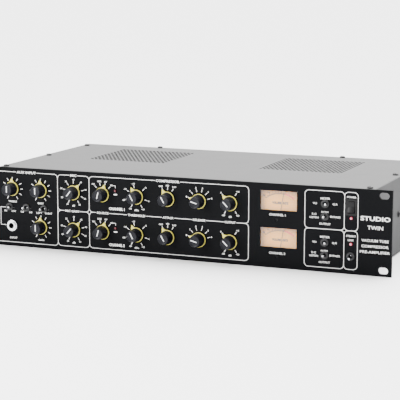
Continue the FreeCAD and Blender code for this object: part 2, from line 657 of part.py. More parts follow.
def make_toggle_switch(name, across, up, way):
    length, width = "toggle_body_length", "toggle_body_width"
    sides = [length, "control_depth", width]
    if way == "upright":
        sides.reverse()
    shell = plate(name + "_shell", ["0", "control_depth / 2", "0"], sides)
    bush = rod(name + "_bush", ["0", "-panel_thick - toggle_bush_reach", "0"],
               "toggle_bush_radius", "panel_thick + toggle_bush_reach + control_depth / 2")
    bore = rod(name + "_bore", ["0", "-panel_thick - toggle_bush_reach - overshoot", "0"],
               "toggle_bore_radius",
               "panel_thick + toggle_bush_reach + overshoot + toggle_tail + toggle_tail_gap")
    body = cut(name + "_housing", fuse(name + "_case", [shell, bush]), [bore])
    nut = rod(name + "_nut", ["0", "-panel_thick - toggle_nut_thick", "0"], "toggle_nut_radius",
              "toggle_nut_thick")
    hole = rod(name + "_nut_hole", ["0", "-panel_thick - toggle_nut_thick", "0"],
               "toggle_bush_radius", "toggle_nut_thick")
    ring = cut(name + "_nut_ring", nut, [hole])
    return place(group(name + "_switch", [body, ring]), [across, "0", up])


def make_lever(name, across, up, way, lean):
    """A toggle lever, built about its pivot and leaned to its rest position."""
    tip = "toggle_reach + panel_thick - toggle_pivot - toggle_tip_radius"
    stem = cone(name + "_stem", ["0", "0", "0"], "toggle_root_radius", "toggle_tip_radius", tip,
                FORWARD)
    end = ball(name + "_end", ["0", f"-({tip})", "0"], "toggle_tip_radius")
    pivot = ball(name + "_pivot", ["0", "0", "0"], "toggle_ball_radius")
    tail = rod(name + "_tail", ["0", "0", "0"], "toggle_root_radius", "toggle_tail")
    lever = fuse(name + "_lever", [stem, end, pivot, tail])
    axis = Vector(0, 0, 1) if way == "across" else Vector(1, 0, 0)
    turn = Rotation(axis, lean * float(sheet.toggle_throw))
    node(place(lever, [across, "-toggle_pivot", up], turn), name)


def make_toggles():
    switches = []
    for name, across, up, way, lean in TOGGLES:
        switches.append(make_toggle_switch(name, across, up, way))
        make_lever(name, across, up, way, lean)
    switches.append(make_power_frame())
    node(group("toggle_switch_set", switches), "toggle_switches")


# ---- power rocker ---------------------------------------------------------------------

def sleeve_width():
    return "rocker_width + 2 * rocker_gap + 2 * frame_wall"


def sleeve_height():
    return "rocker_height + 2 * rocker_end_gap + 2 * frame_wall"


def make_power_frame():
    width, height = sleeve_width(), sleeve_height()
    bezel = plate("power_bezel", ["0", "-panel_thick - bezel_thick / 2", "0"],
                  [width + " + 2 * bezel_lip", "bezel_thick", height + " + 2 * bezel_lip"])
    sleeve = plate("power_sleeve", ["0", "(power_body_depth - panel_thick) / 2", "0"],
                   [width, "power_body_depth + panel_thick", height])
    cavity = plate("power_cavity", ["0", "-panel_thick", "0"],
                   ["rocker_width + 2 * rocker_gap", "2 * (rocker_depth + rocker_back_room)",
                    "rocker_height + 2 * rocker_end_gap"])
    pins = rod("power_pin_hole", [pin_start(), "-panel_thick", "0"],
               "rocker_pin_radius + running_fit", pin_span(), ALONG_X)
    frame = cut("power_frame", fuse("power_case", [bezel, sleeve]), [cavity, pins])
    return place(frame, ["power_x", "0", "power_z"])


def pin_start():
    return "-rocker_width / 2 - rocker_gap - rocker_pin_length"


def pin_span():
    return "rocker_width + 2 * rocker_gap + 2 * rocker_pin_length"


def make_rocker():
    """The rocker turns about its pins, which lie in the panel's front face."""
    block = plate("rocker_block", ["0", "rocker_depth / 2 - rocker_proud", "0"],
                  ["rocker_width", "rocker_depth", "rocker_height"])
    pins = rod("rocker_pins", [pin_start(), "0", "0"], "rocker_pin_radius", pin_span(), ALONG_X)
    rocker = fuse("rocker_lever", [block, pins])
    turn = Rotation(Vector(1, 0, 0), -float(sheet.rocker_throw))
    node(place(rocker, ["power_x", "-panel_thick", "power_z"], turn), "power_rocker")


# ---- meters ---------------------------------------------------------------------------

def meter_height():
    """Height of the space inside a housing, which reaches past the window above and below."""
    return "window_height + housing_head + housing_drop"


def meter_middle():
    return "(housing_head - housing_drop) / 2"


def make_meter_housings():
    housings = []
    for number, up in METERS:
        width = "window_width + 2 * housing_side"
        middle = ["0", "housing_depth / 2", meter_middle()]
        outer_sides = [f"{width} + 2 * housing_wall", "housing_depth",
                       f"{meter_height()} + 2 * housing_wall"]
        inner_sides = [width, "housing_depth", meter_height()]
        outer = plate(f"housing_outer_{number}", middle, outer_sides)
        inner_middle = [middle[0], "housing_depth / 2 - housing_wall", middle[2]]
        inner = plate(f"housing_inner_{number}", inner_middle, inner_sides)
        shell = cut(f"housing_shell_{number}", outer, [inner])
        housings.append(place(shell, ["meter_x", "0", up]))
    node(group("housing_set", housings), "meter_housings")


def make_meter_windows():
    windows = []
    for number, up in METERS:
        middle_y = "-panel_thick + glass_sink + glass_thick / 2"
        windows.append(plate(f"glass_{number}", ["meter_x", middle_y, up],
                             ["window_width", "glass_thick", "window_height"]))
    node(group("window_set", windows), "meter_windows")


def make_meter_dials():
    dials = []
    for number, up in METERS:
        dial_height = f"{meter_height()} - 2 * dial_gap"
        middle_z = f"{up} + {meter_middle()}"
        sheet_metal = plate(f"dial_plate_{number}",
                            ["meter_x", "dial_depth + dial_thick / 2", middle_z],
                            ["window_width + 2 * housing_side - 2 * dial_gap", "dial_thick",
                             dial_height])
        hole = rod(f"dial_hole_{number}",
                   ["meter_x", "dial_depth - overshoot", pivot_height(up)],
                   "dial_hole_radius", "dial_thick + 2 * overshoot")
        dials.append(cut(f"dial_{number}", sheet_metal, [hole]))
    node(group("dial_set", dials), "meter_dials")


def pivot_height(up):
    return f"{up} - needle_pivot_drop"


def make_meter_movements():
    pieces = []
    for number, up in METERS:
        back = "dial_depth + dial_thick"
        can = rod(f"movement_can_{number}", ["meter_x", back, pivot_height(up)],
                  "movement_radius", "movement_depth")
        bore = rod(f"movement_bore_{number}",
                   ["meter_x", f"{back} - overshoot", pivot_height(up)],
                   "needle_spindle_radius + running_fit", "needle_spindle_reach + overshoot")
        pieces.append(cut(f"movement_{number}", can, [bore]))
        trimmer = rod(f"trimmer_{number}", ["meter_x + trimmer_x", "-panel_thick + trimmer_sink",
                                            f"{up} - trimmer_drop"],
                      "trimmer_radius", "panel_thick - trimmer_sink")
        pieces.append(trimmer)
    node(group("movement_set", pieces), "meter_movements")


def make_needle(number, up):
    """A pointer, its hub, balance tail and spindle, leaned to its rest reading."""
    blade = plate(f"needle_blade_{number}", ["0", "0", "needle_length / 2"],
                  ["needle_width", "needle_thick", "needle_length"])
    tail = plate(f"needle_tail_{number}", ["0", "0", "-needle_tail / 2"],
                 ["3 * needle_width", "needle_thick", "needle_tail"])
    hub = rod(f"needle_hub_{number}", ["0", "-needle_thick", "0"], "needle_hub_radius",
              "2 * needle_thick")
    spindle = rod(f"needle_spindle_{number}", ["0", "0", "0"], "needle_spindle_radius",
                  "dial_depth - needle_depth + dial_thick + needle_spindle_reach - needle_end_gap")
    needle = fuse(f"needle_pieces_{number}", [blade, tail, hub, spindle])
    turn = Rotation(Vector(0, 1, 0), float(sheet.needle_rest))
    node(place(needle, ["meter_x", "needle_depth", pivot_height(up)], turn),
         f"meter_needle_{number}")


# ---- lamps and jacks ------------------------------------------------------------------

def make_lamps():
    lamps = []
    for index, (across, up) in enumerate(LAMPS):
        stem = rod(f"lamp_stem_{index}", [across, "-panel_thick - lamp_reach", up], "lamp_radius",
                   "panel_thick + lamp_reach + lamp_depth")
        dome = ball(f"lamp_dome_{index}", [across, "-panel_thick - lamp_reach", up], "lamp_radius")
        flange = rod(f"lamp_flange_{index}", [across, "0", up], "lamp_flange_radius",
                     "lamp_flange_thick")
        lamps.append(fuse(f"lamp_{index}", [stem, dome, flange]))
    node(group("lamp_set", lamps), "lamps")


def make_jack(name, wall):
    """A jack that faces forward from the origin through a wall of the given thickness."""
    shell = plate(name + "_shell", ["0", "jack_body_depth / 2", "0"],
                  ["jack_body_width", "jack_body_depth", "jack_body_width"])
    bush = rod(name + "_bush", ["0", f"-({wall}) - jack_bush_reach", "0"], "jack_bush_radius",
               f"{wall} + jack_bush_reach + jack_body_depth / 2")
    bore = rod(name + "_bore", ["0", f"-({wall}) - jack_bush_reach - overshoot", "0"],
               "jack_bore_radius",
               f"{wall} + jack_bush_reach + overshoot + jack_body_depth - jack_blind")
    return cut(name + "_jack", fuse(name + "_case", [shell, bush]), [bore])


def make_jack_nut(name, wall):
    nut = rod(name + "_nut", ["0", f"-({wall}) - jack_nut_thick", "0"], "jack_nut_radius",
              "jack_nut_thick")
    hole = rod(name + "_nut_hole", ["0", f"-({wall}) - jack_nut_thick", "0"], "jack_bush_radius",
               "jack_nut_thick")
    return cut(name + "_nut_ring", nut, [hole])


def rear_jack_places():
    places = []
    for side, sign in SIDES:
        for step in range(3):
            places.append(f"{sign} * (rear_jack_x + {step} * rear_jack_pitch)")
    return places


def make_jacks():
    half_turn = Rotation(Vector(0, 0, 1), 180)
    front = place(make_jack("front", "panel_thick"), ["jack_x", "0", "jack_z"])
    node(front, "front_jack")
    nuts = [place(make_jack_nut("front", "panel_thick"), ["jack_x", "0", "jack_z"])]
    jacks = []
    inner_face = "case_depth - sheet_thick"
    for index, across in enumerate(rear_jack_places()):
        at = [across, inner_face, "0"]
        jacks.append(place(make_jack(f"rear_{index}", "sheet_thick"), at, half_turn))
        nuts.append(place(make_jack_nut(f"rear_{index}", "sheet_thick"), at, half_turn))
    node(group("rear_jack_set", jacks), "line_jacks")
    node(group("dress_nut_set", nuts + control_nuts()), "dress_nuts")


# ---- rear connectors ------------------------------------------------------------------

def xlr_places():
    """Each side has a socket for the input and a plug for the output."""
    places = []
    for side, sign in SIDES:
        places.append((f"{sign} * xlr_x", "socket"))
        places.append((f"{sign} * (xlr_x + xlr_pitch)", "plug"))
    return places


def pin_circle():
    """The three pins: two level ones and one below."""
    across = math.sin(math.radians(60))
    return [(-across, 0.5), (across, 0.5), (0.0, -1.0)]


def make_xlr(index, across, kind):
    name = f"xlr_{index}"
    flange = plate(name + "_flange", ["0", "xlr_flange_thick / 2", "0"],
                   ["xlr_flange_width", "xlr_flange_thick", "xlr_flange_height"])
    barrel = rod(name + "_barrel", ["0", "-xlr_body_depth", "0"], "xlr_body_radius",
                 "xlr_body_depth + xlr_flange_thick / 2")
    holes = []
    for sign in (-1, 1):
        holes.append(rod(f"{name}_screw_hole_{sign + 1}",
                         [f"{sign} * xlr_screw_x", "-overshoot", f"{sign} * xlr_screw_z"],
                         "screw_radius", "xlr_flange_thick + 2 * overshoot"))
    if kind == "plug":
        mouth = rod(name + "_recess", ["0", "xlr_flange_thick - xlr_recess_depth", "0"],
                    "xlr_recess_radius", "xlr_recess_depth")
        holes.append(mouth)
        for number, (x, z) in enumerate(pin_circle()):
            pin_hole = rod(f"{name}_pin_seat_{number}",
                           [f"{x} * xlr_pin_circle", "-xlr_body_depth",
                            f"{z} * xlr_pin_circle"], "xlr_pin_radius", "xlr_body_depth")
            holes.append(pin_hole)
        shell = fuse(name + "_case", [flange, barrel])
        return place(cut(name + "_plug", shell, holes), [across, "case_depth", "0"])
    ring = rod(name + "_well", ["0", "xlr_flange_thick - xlr_socket_depth", "0"],
               "xlr_socket_radius", "xlr_socket_depth")
    core = rod(name + "_core", ["0", "xlr_flange_thick - xlr_socket_depth", "0"],
               "xlr_insert_radius", "xlr_socket_depth")
    holes.append(cut(name + "_groove", ring, [core]))
    for number, (x, z) in enumerate(pin_circle()):
        holes.append(rod(f"{name}_pin_hole_{number}",
                         [f"{x} * xlr_pin_circle", "xlr_flange_thick - xlr_socket_depth",
                          f"{z} * xlr_pin_circle"], "xlr_hole_radius", "xlr_socket_depth"))
    shell = fuse(name + "_case", [flange, barrel])
    return place(cut(name + "_socket", shell, holes), [across, "case_depth", "0"])


def make_xlrs():
    connectors = []
    for index, (across, kind) in enumerate(xlr_places()):
        connectors.append(make_xlr(index, across, kind))
    node(group("xlr_set", connectors), "xlr_connectors")


def make_inlet():
    flange = plate("inlet_flange", ["0", "inlet_flange_thick / 2", "0"],
                   ["inlet_flange_width", "inlet_flange_thick", "inlet_flange_height"])
    shell = plate("inlet_shell", ["0", "-inlet_body_depth / 2 + inlet_flange_thick / 4", "0"],
                  ["inlet_body_width", "inlet_body_depth + inlet_flange_thick / 2",
                   "inlet_body_height"])
    recess = plate("inlet_recess", ["0", "inlet_flange_thick - inlet_recess_depth / 2", "0"],
                   ["inlet_recess_width", "inlet_recess_depth", "inlet_recess_height"])
    tools = [recess]
    for number, (x, z) in enumerate(blade_places()):
        tools.append(plate(f"inlet_seat_{number}", [x, "-inlet_body_depth / 2", z],
                           ["inlet_blade_width", "inlet_body_depth + 2 * overshoot",
                            "inlet_blade_height"]))
    for sign in (-1, 1):
        tools.append(rod(f"inlet_screw_hole_{sign + 1}",
                         [f"{sign} * inlet_screw_x", "-overshoot", "0"], "screw_radius",
                         "inlet_flange_thick + 2 * overshoot"))
    inlet = cut("inlet_moulding", fuse("inlet_case", [flange, shell]), tools)
    node(place(inlet, ["inlet_x", "case_depth", "0"]), "mains_inlet")


def blade_places():
    return [("-inlet_blade_x", "-inlet_blade_z"), ("inlet_blade_x", "-inlet_blade_z"),
            ("0", "inlet_blade_z")]


def make_connector_pins():
    pins = []
    for index, (across, kind) in enumerate(xlr_places()):
        if kind == "plug":
            for number, (x, z) in enumerate(pin_circle()):
                start = "case_depth - xlr_body_depth"
                length = ("xlr_body_depth + xlr_flange_thick - xlr_recess_depth"
                          " + xlr_pin_length")
                pins.append(rod(f"xlr_pin_{index}_{number}",
                                [f"{across} + {x} * xlr_pin_circle", start,
                                 f"{z} * xlr_pin_circle"], "xlr_pin_radius", length))
    for number, (x, z) in enumerate(blade_places()):
        length = ("inlet_body_depth + inlet_blade_tail + inlet_flange_thick - inlet_recess_depth"
                  " + inlet_blade_length")
        middle = f"case_depth - inlet_body_depth - inlet_blade_tail + ({length}) / 2"
        pins.append(plate(f"inlet_blade_{number}", [f"inlet_x + ({x})", middle, z],
                          ["inlet_blade_width", length, "inlet_blade_height"]))
    node(group("pin_set", pins), "connector_pins")


def make_connector_screws():
    screws = []
    turn = ALONG_Y
    for index, (across, kind) in enumerate(xlr_places()):
        for sign in (-1, 1):
            at = [f"{across} + {sign} * xlr_screw_x", "case_depth + xlr_flange_thick",
                  f"{sign} * xlr_screw_z"]
            screws.append(make_screw(f"xlr_screw_{index}_{sign + 1}", at, turn))
    for sign in (-1, 1):
        at = [f"inlet_x + {sign} * inlet_screw_x", "case_depth + inlet_flange_thick", "0"]
        screws.append(make_screw(f"inlet_screw_{sign + 1}", at, turn))
    node(group("connector_screw_set", screws), "connector_screws")


# ---- inside the case ------------------------------------------------------------------

def floor_top():
    return "-case_bottom + sheet_thick"


def board_top():
    return f"{floor_top()} + standoff_height + board_thick"


def make_control_board():
    """Upright board behind the rotary controls, and a small one behind the toggles."""
    sheet_board = box("control_sheet", ["control_board_left", "control_depth",
                                        "-control_board_height / 2"],
                      ["control_board_right - control_board_left", "board_thick",
                       "control_board_height"])
    gap = plate("jack_gap", ["jack_x", "control_depth", "jack_z"],
                ["jack_body_width + 2 * sheet_thick", "4 * board_thick",
                 "jack_body_width + 2 * sheet_thick"])
    main = cut("control_board_cut", sheet_board, [gap])
    small = plate("toggle_sheet", ["toggle_x", "control_depth + board_thick / 2", "0"],
                  ["toggle_board_width", "board_thick", "control_board_height"])
    node(group("control_board_set", [main, small]), "control_board")


def make_channel_boards():
    boards = []
    for side, sign in SIDES:
        across = f"{sign} * (board_inner + board_outer) / 2"
        back = "(board_front + board_back) / 2"
        up = f"{floor_top()} + standoff_height + board_thick / 2"
        boards.append(plate(f"channel_sheet_{side}", [across, back, up],
                            ["board_outer - board_inner", "board_back - board_front",
                             "board_thick"]))
    node(group("channel_board_set", boards), "channel_boards")


def make_standoffs():
    posts = []
    for side, sign in SIDES:
        for column in ("board_inner + standoff_inset", "board_outer - standoff_inset"):
            for back in ("board_front + standoff_inset", "board_back - standoff_inset"):
                posts.append(rod(f"standoff_{len(posts)}", [f"{sign} * ({column})", back,
                                                            floor_top()],
                                 "standoff_radius", "standoff_height", ALONG_Z))
    node(group("standoff_set", posts), "board_standoffs")


def valve_places():
    places = []
    for side, sign in SIDES:
        for step in range(2):
            places.append((f"{sign} * vent_x", f"valve_front + {step} * valve_pitch"))
    return places


def make_valves():
    sockets = []
    glasses = []
    cores = []
    foot = f"{board_top()} + socket_height"
    for index, (across, back) in enumerate(valve_places()):
        sockets.append(rod(f"socket_{index}", [across, back, board_top()], "socket_radius",
                           "socket_height", ALONG_Z))
        outside = rod(f"bulb_outer_{index}", [across, back, foot], "valve_radius",
                      "valve_height", ALONG_Z)
        dome = ball(f"bulb_dome_{index}", [across, back, f"{foot} + valve_height"],
                    "valve_radius")
        inside = rod(f"bulb_inner_{index}", [across, back, f"{foot} + 2 * glass_wall"],
                     "valve_radius - glass_wall", "valve_height - 2 * glass_wall", ALONG_Z)
        vault = ball(f"bulb_vault_{index}", [across, back, f"{foot} + valve_height"],
                     "valve_radius - glass_wall")
        hollow = fuse(f"bulb_hollow_{index}", [inside, vault])
        glasses.append(cut(f"bulb_{index}", fuse(f"bulb_solid_{index}", [outside, dome]),
                           [hollow]))
        middle = f"{foot} + 2 * glass_wall + electrode_height / 2"
        cores.append(plate(f"electrode_{index}", [across, back, middle],
                           ["electrode_width", "electrode_depth", "electrode_height"]))
    node(group("socket_set", sockets), "valve_sockets")
    node(group("glass_set", glasses), "valve_glasses")
    node(group("electrode_set", cores), "valve_electrodes")


def make_capacitors():
    cans = []
    for side, sign in SIDES:
        for step in range(2):
            cans.append(rod(f"capacitor_{side}_{step}",
                            [f"{sign} * capacitor_x", f"capacitor_front + {step} * capacitor_pitch",
                             board_top()], "capacitor_radius", "capacitor_height", ALONG_Z))
    node(group("capacitor_set", cans), "smoothing_capacitors")


def make_heat_sinks():
    sinks = []
    regulators = []
    inside = "case_width / 2 - sheet_thick"
    for side, sign in SIDES:
        web = plate(f"sink_web_{side}", [f"{sign} * ({inside} - sink_thick / 2)", "side_screw_y",
                                         "0"], ["sink_thick", "sink_length", "sink_height"])
        foot = plate(f"sink_foot_{side}", [f"{sign} * ({inside} - sink_foot / 2)",
                                           "side_screw_y", "sink_height / 2 - sink_thick / 2"],
                     ["sink_foot", "sink_length", "sink_thick"])
        hole = rod(f"sink_hole_{side}", [f"{sign} * ({inside}) - 2 * sink_thick", "side_screw_y",
                                         "0"], "screw_radius", "4 * sink_thick", ALONG_X)
        sinks.append(cut(f"sink_{side}", fuse(f"sink_angle_{side}", [web, foot]), [hole]))
        for step in (-1, 1):
            across = f"{sign} * ({inside} - sink_thick - regulator_thick / 2)"
            regulators.append(plate(f"regulator_{side}_{step + 1}",
                                    [across, f"side_screw_y + {step} * regulator_offset", "0"],
                                    ["regulator_thick", "regulator_width", "regulator_height"]))
    node(group("sink_set", sinks), "heat_sinks")
    node(group("regulator_set", regulators), "regulators")


def make_transformer():
    base = f"{floor_top()} + pad_thick"
    coil = rod("coil", ["0", "transformer_y", base], "transformer_radius", "transformer_height",
               ALONG_Z)
    middle = rod("coil_bore", ["0", "transformer_y", base], "transformer_bore",
                 "transformer_height", ALONG_Z)
    node(cut("toroid", coil, [middle]), "transformer")
    top = f"{base} + transformer_height"
    pads = []
    for number, height in enumerate((floor_top(), top)):
        disc = rod(f"pad_disc_{number}", ["0", "transformer_y", height],
                   "transformer_radius - 2 * pad_thick", "pad_thick", ALONG_Z)
        hole = rod(f"pad_hole_{number}", ["0", "transformer_y", height],
                   "clamp_bolt_radius + hole_clearance", "pad_thick", ALONG_Z)
        pads.append(cut(f"pad_{number}", disc, [hole]))
    node(group("pad_set", pads), "transformer_pads")
    plate_base = f"{top} + pad_thick"
    disc = rod("clamp_disc", ["0", "transformer_y", plate_base], "clamp_radius", "clamp_thick",
               ALONG_Z)
    hole = rod("clamp_hole", ["0", "transformer_y", plate_base], "clamp_bolt_radius",
               "clamp_thick", ALONG_Z)
    bolt_length = (f"{plate_base} + clamp_thick + clamp_nut_height + clamp_bolt_end"
                   " - (-case_bottom)")
    bolt = rod("clamp_bolt", ["0", "transformer_y", "-case_bottom"], "clamp_bolt_radius",
               bolt_length, ALONG_Z)
    nut = prism("clamp_nut_body", ["0", "transformer_y", f"{plate_base} + clamp_thick"], 6,
                "clamp_nut_radius", "clamp_nut_height", ALONG_Z)
    nut_hole = rod("clamp_nut_hole", ["0", "transformer_y", f"{plate_base} + clamp_thick"],
                   "clamp_bolt_radius", "clamp_nut_height", ALONG_Z)
    pieces = [cut("clamp_plate", disc, [hole]), bolt, cut("clamp_nut", nut, [nut_hole])]
    node(group("clamp_set", pieces), "transformer_clamp")


def make_ribbons():
    ribbons = []
    start = "control_depth + board_thick"
    for side, sign in SIDES:
        across = f"{sign} * ribbon_x"
        run = plate(f"ribbon_run_{side}", [across, f"({start} + ribbon_landing) / 2",
                                           "-ribbon_drop"],
                    ["ribbon_width", f"ribbon_landing - ({start})", "ribbon_thick"])
        fall_height = f"-ribbon_drop - ({board_top()})"
        fall = plate(f"ribbon_fall_{side}",
                     [across, "ribbon_landing + ribbon_thick / 2",
                      f"{board_top()} + ({fall_height}) / 2 + ribbon_thick / 4"],
                     ["ribbon_width", "ribbon_thick", f"{fall_height} + ribbon_thick / 2"])
        ribbons.append(fuse(f"ribbon_{side}", [run, fall]))
    node(group("ribbon_set", ribbons), "ribbon_cables")


def check_and_write():
    doc.recompute()
    for item in doc.Objects:
        if "Invalid" in item.State or "Error" in item.State:
            raise RuntimeError(f"{item.Name} failed: {item.State}")
    for item in nodes:
        if item.Shape.isNull() or not item.Shape.isValid():
            raise RuntimeError(f"{item.Label} has no valid shape")
    for item in nodes:
        item.Shape.exportStep(f"parts/{item.Label}.step")
        limits = item.Shape.BoundBox
        print(f"{item.Label:24s} solids {len(item.Shape.Solids):3d}"
              f" volume {item.Shape.Volume:12.2f}"
              f"  x {limits.XMin:8.2f} {limits.XMax:8.2f}"
              f"  y {limits.YMin:8.2f} {limits.YMax:8.2f}"
              f"  z {limits.ZMin:8.2f} {limits.ZMax:8.2f}")
    print(len(nodes), "nodes")


os.makedirs("parts", exist_ok=True)
fill_sheet()
probe = doc.addObject("App::FeaturePython", "probe")
make_front_panel()
make_tray()
make_rear_panel()
make_top_cover()
make_case_screws()
make_panel_fixings()
make_controls()
make_toggles()
make_rocker()
make_meter_housings()
make_meter_windows()
make_meter_dials()
make_meter_movements()
make_lamps()
make_jacks()
make_xlrs()
make_inlet()
make_connector_pins()
make_connector_screws()
make_control_board()
make_channel_boards()
make_standoffs()
make_valves()
make_capacitors()
make_heat_sinks()
make_transformer()
make_ribbons()
for knob_control in CONTROLS:
    make_knob(knob_control)
for meter_number, meter_up in METERS:
    make_needle(meter_number, meter_up)
check_and_write()
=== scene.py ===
"""Looks of a two-channel valve compressor in a rack case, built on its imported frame."""

import json
import math

import bmesh
import bpy
from bpy.props import FloatProperty, FloatVectorProperty, IntProperty, PointerProperty
from mathutils import Euler, Matrix, Vector


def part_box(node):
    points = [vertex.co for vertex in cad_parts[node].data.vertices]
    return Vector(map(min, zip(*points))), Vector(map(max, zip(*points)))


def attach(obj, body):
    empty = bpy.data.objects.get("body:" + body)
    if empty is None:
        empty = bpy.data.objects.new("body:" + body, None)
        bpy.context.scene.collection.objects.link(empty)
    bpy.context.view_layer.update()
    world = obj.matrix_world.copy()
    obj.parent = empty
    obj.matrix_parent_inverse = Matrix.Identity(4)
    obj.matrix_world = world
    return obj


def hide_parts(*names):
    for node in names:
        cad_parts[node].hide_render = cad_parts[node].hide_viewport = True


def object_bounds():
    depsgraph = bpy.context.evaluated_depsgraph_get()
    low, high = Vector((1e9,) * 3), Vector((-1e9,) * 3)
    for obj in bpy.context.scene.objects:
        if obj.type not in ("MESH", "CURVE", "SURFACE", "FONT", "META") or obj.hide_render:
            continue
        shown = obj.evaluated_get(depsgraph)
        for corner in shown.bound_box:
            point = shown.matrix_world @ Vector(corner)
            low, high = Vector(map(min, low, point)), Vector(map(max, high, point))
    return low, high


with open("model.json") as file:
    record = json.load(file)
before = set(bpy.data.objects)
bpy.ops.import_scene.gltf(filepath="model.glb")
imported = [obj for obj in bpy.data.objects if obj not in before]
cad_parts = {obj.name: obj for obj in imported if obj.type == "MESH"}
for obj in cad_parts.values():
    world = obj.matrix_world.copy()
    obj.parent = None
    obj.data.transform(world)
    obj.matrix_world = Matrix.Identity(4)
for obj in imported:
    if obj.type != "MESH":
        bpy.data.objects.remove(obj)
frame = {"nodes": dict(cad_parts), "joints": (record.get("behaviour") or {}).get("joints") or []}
cad_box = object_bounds()

bl_info = {
    "name": "Rack Compressor Looks",
    "version": (1, 0, 0),
    "blender": (4, 5, 0),
    "location": "3D View > Sidebar > Compressor",
    "description": "Builds the visible pieces of a two-channel rack compressor",
    "category": "Add Mesh",
}

MM = 0.001
CHASSIS = "chassis"
PANEL_FACE = -3.0
PRINT_SINK = 0.02

# Frames that share a line are set this far apart, across and in depth, so that their
# solids join cleanly.
SEAM = 0.02
SEAM_DEPTH = 0.003

# Radii of a knob, and its places along its axis.
SPINDLE_RADIUS, SPINDLE_END = 3.0, 4.6
RECESS_RADIUS, RECESS_FLOOR = 6.4, -9.0
RING_RADIUS, RING_BACK, CAP_BACK = 7.9, -3.8, -5.2
CAP_FACE = -16.35
POINTER_TIP, POINTER_HALF_ANGLE = 11.8, math.radians(18.4)

# Levers and the power rocker.
BALL_RADIUS, LEVER_REACH, LEVER_TAIL = 1.9, 9.0, 3.6
TOGGLE_THROW = math.radians(13.0)
ROCKER_TILT = math.radians(-8.0)
ROCKER_HALF_WIDTH, ROCKER_HALF_HEIGHT = 3.5, 5.8
ROCKER_FRONT, ROCKER_BACK, ROCKER_DISH = -2.4, 3.6, 0.75

# Meters: how far a card runs below and above its window, and where its red zone starts.
CARD_BELOW, CARD_ABOVE = 13.1, 1.1
ZONE_START = 12.0
JOINTS = {joint["child"]: joint for joint in frame["joints"]}

# Pointer angle of each knob at rest, in degrees clockwise from the top.
KNOB_REST = {
    "aux_treble": 0, "aux_bass": 0, "aux_gain": 0,
    "gain_1": 38, "source_1": 15, "threshold_1": -30, "attack_1": -30, "release_1": -75,
    "output_1": -45, "gain_2": 40, "source_2": 15, "threshold_2": -28, "attack_2": -30,
    "release_2": -75, "output_2": -45,
}
# Way each lever moves, and its lean at rest in throws.
LEVERS = {
    "meter_toggle_1": ("across", 1), "output_toggle_1": ("across", 0),
    "meter_toggle_2": ("across", 1), "output_toggle_2": ("across", 0),
    "link_toggle": ("upright", 1), "aux_toggle_1": ("across", 1),
    "aux_toggle_2": ("across", -1), "aux_toggle_3": ("across", -1),
}

# Printed scales: angle of each mark clockwise from the top, and its number or word.
EVEN_SCALE = [(step * 30 - 150, str(step)) for step in range(11)]
SCALES = {
    "aux": EVEN_SCALE,
    "gain": [(-150, "20"), (-112.5, "25"), (-75, "30"), (-37.5, "35"), (0, "40"), (37.5, "45"),
             (75, "50"), (112.5, "55"), (150, "60")],
    "source": [(-45, "MIC"), (-15, "LINE"), (15, "AUX"), (45, "ALL")],
    "threshold": [(-150, "-30"), (-105, "-20"), (-60, "-15"), (-15, "-10"), (45, "-5"),
                  (105, "0"), (150, "+10")],
    "attack": [(-30, "FAST"), (0, "MED"), (30, "SLOW")],
    "release": [(-75, "1"), (-45, "2"), (-15, "3"), (15, "4"), (45, "5"), (75, "6")],
    "output": [(-150, "-20"), (-45, "0"), (33, "+10"), (146, "+20")],
}
UNITS = {"gain": "dB", "threshold": "dBu", "output": "dB", "aux_treble": "BASS",
         "aux_bass": "TREBLE", "aux_gain": "GAIN"}

# Printed frames: left, right, low and high edge of each box.
BOXES = [
    (-211.0, -134.0, -39.5, 39.3), (-134.0, -95.6, 0.1, 39.3), (-134.0, -95.6, -39.1, 0.1),
    (-95.6, 88.5, 0.4, 39.5), (-95.6, 88.5, -38.9, 0.4), (149.5, 191.4, 0.6, 39.9),
    (149.5, 191.4, -39.2, 0.6), (191.4, 205.6, 0.6, 39.9), (191.4, 205.6, -39.2, 0.6),
]
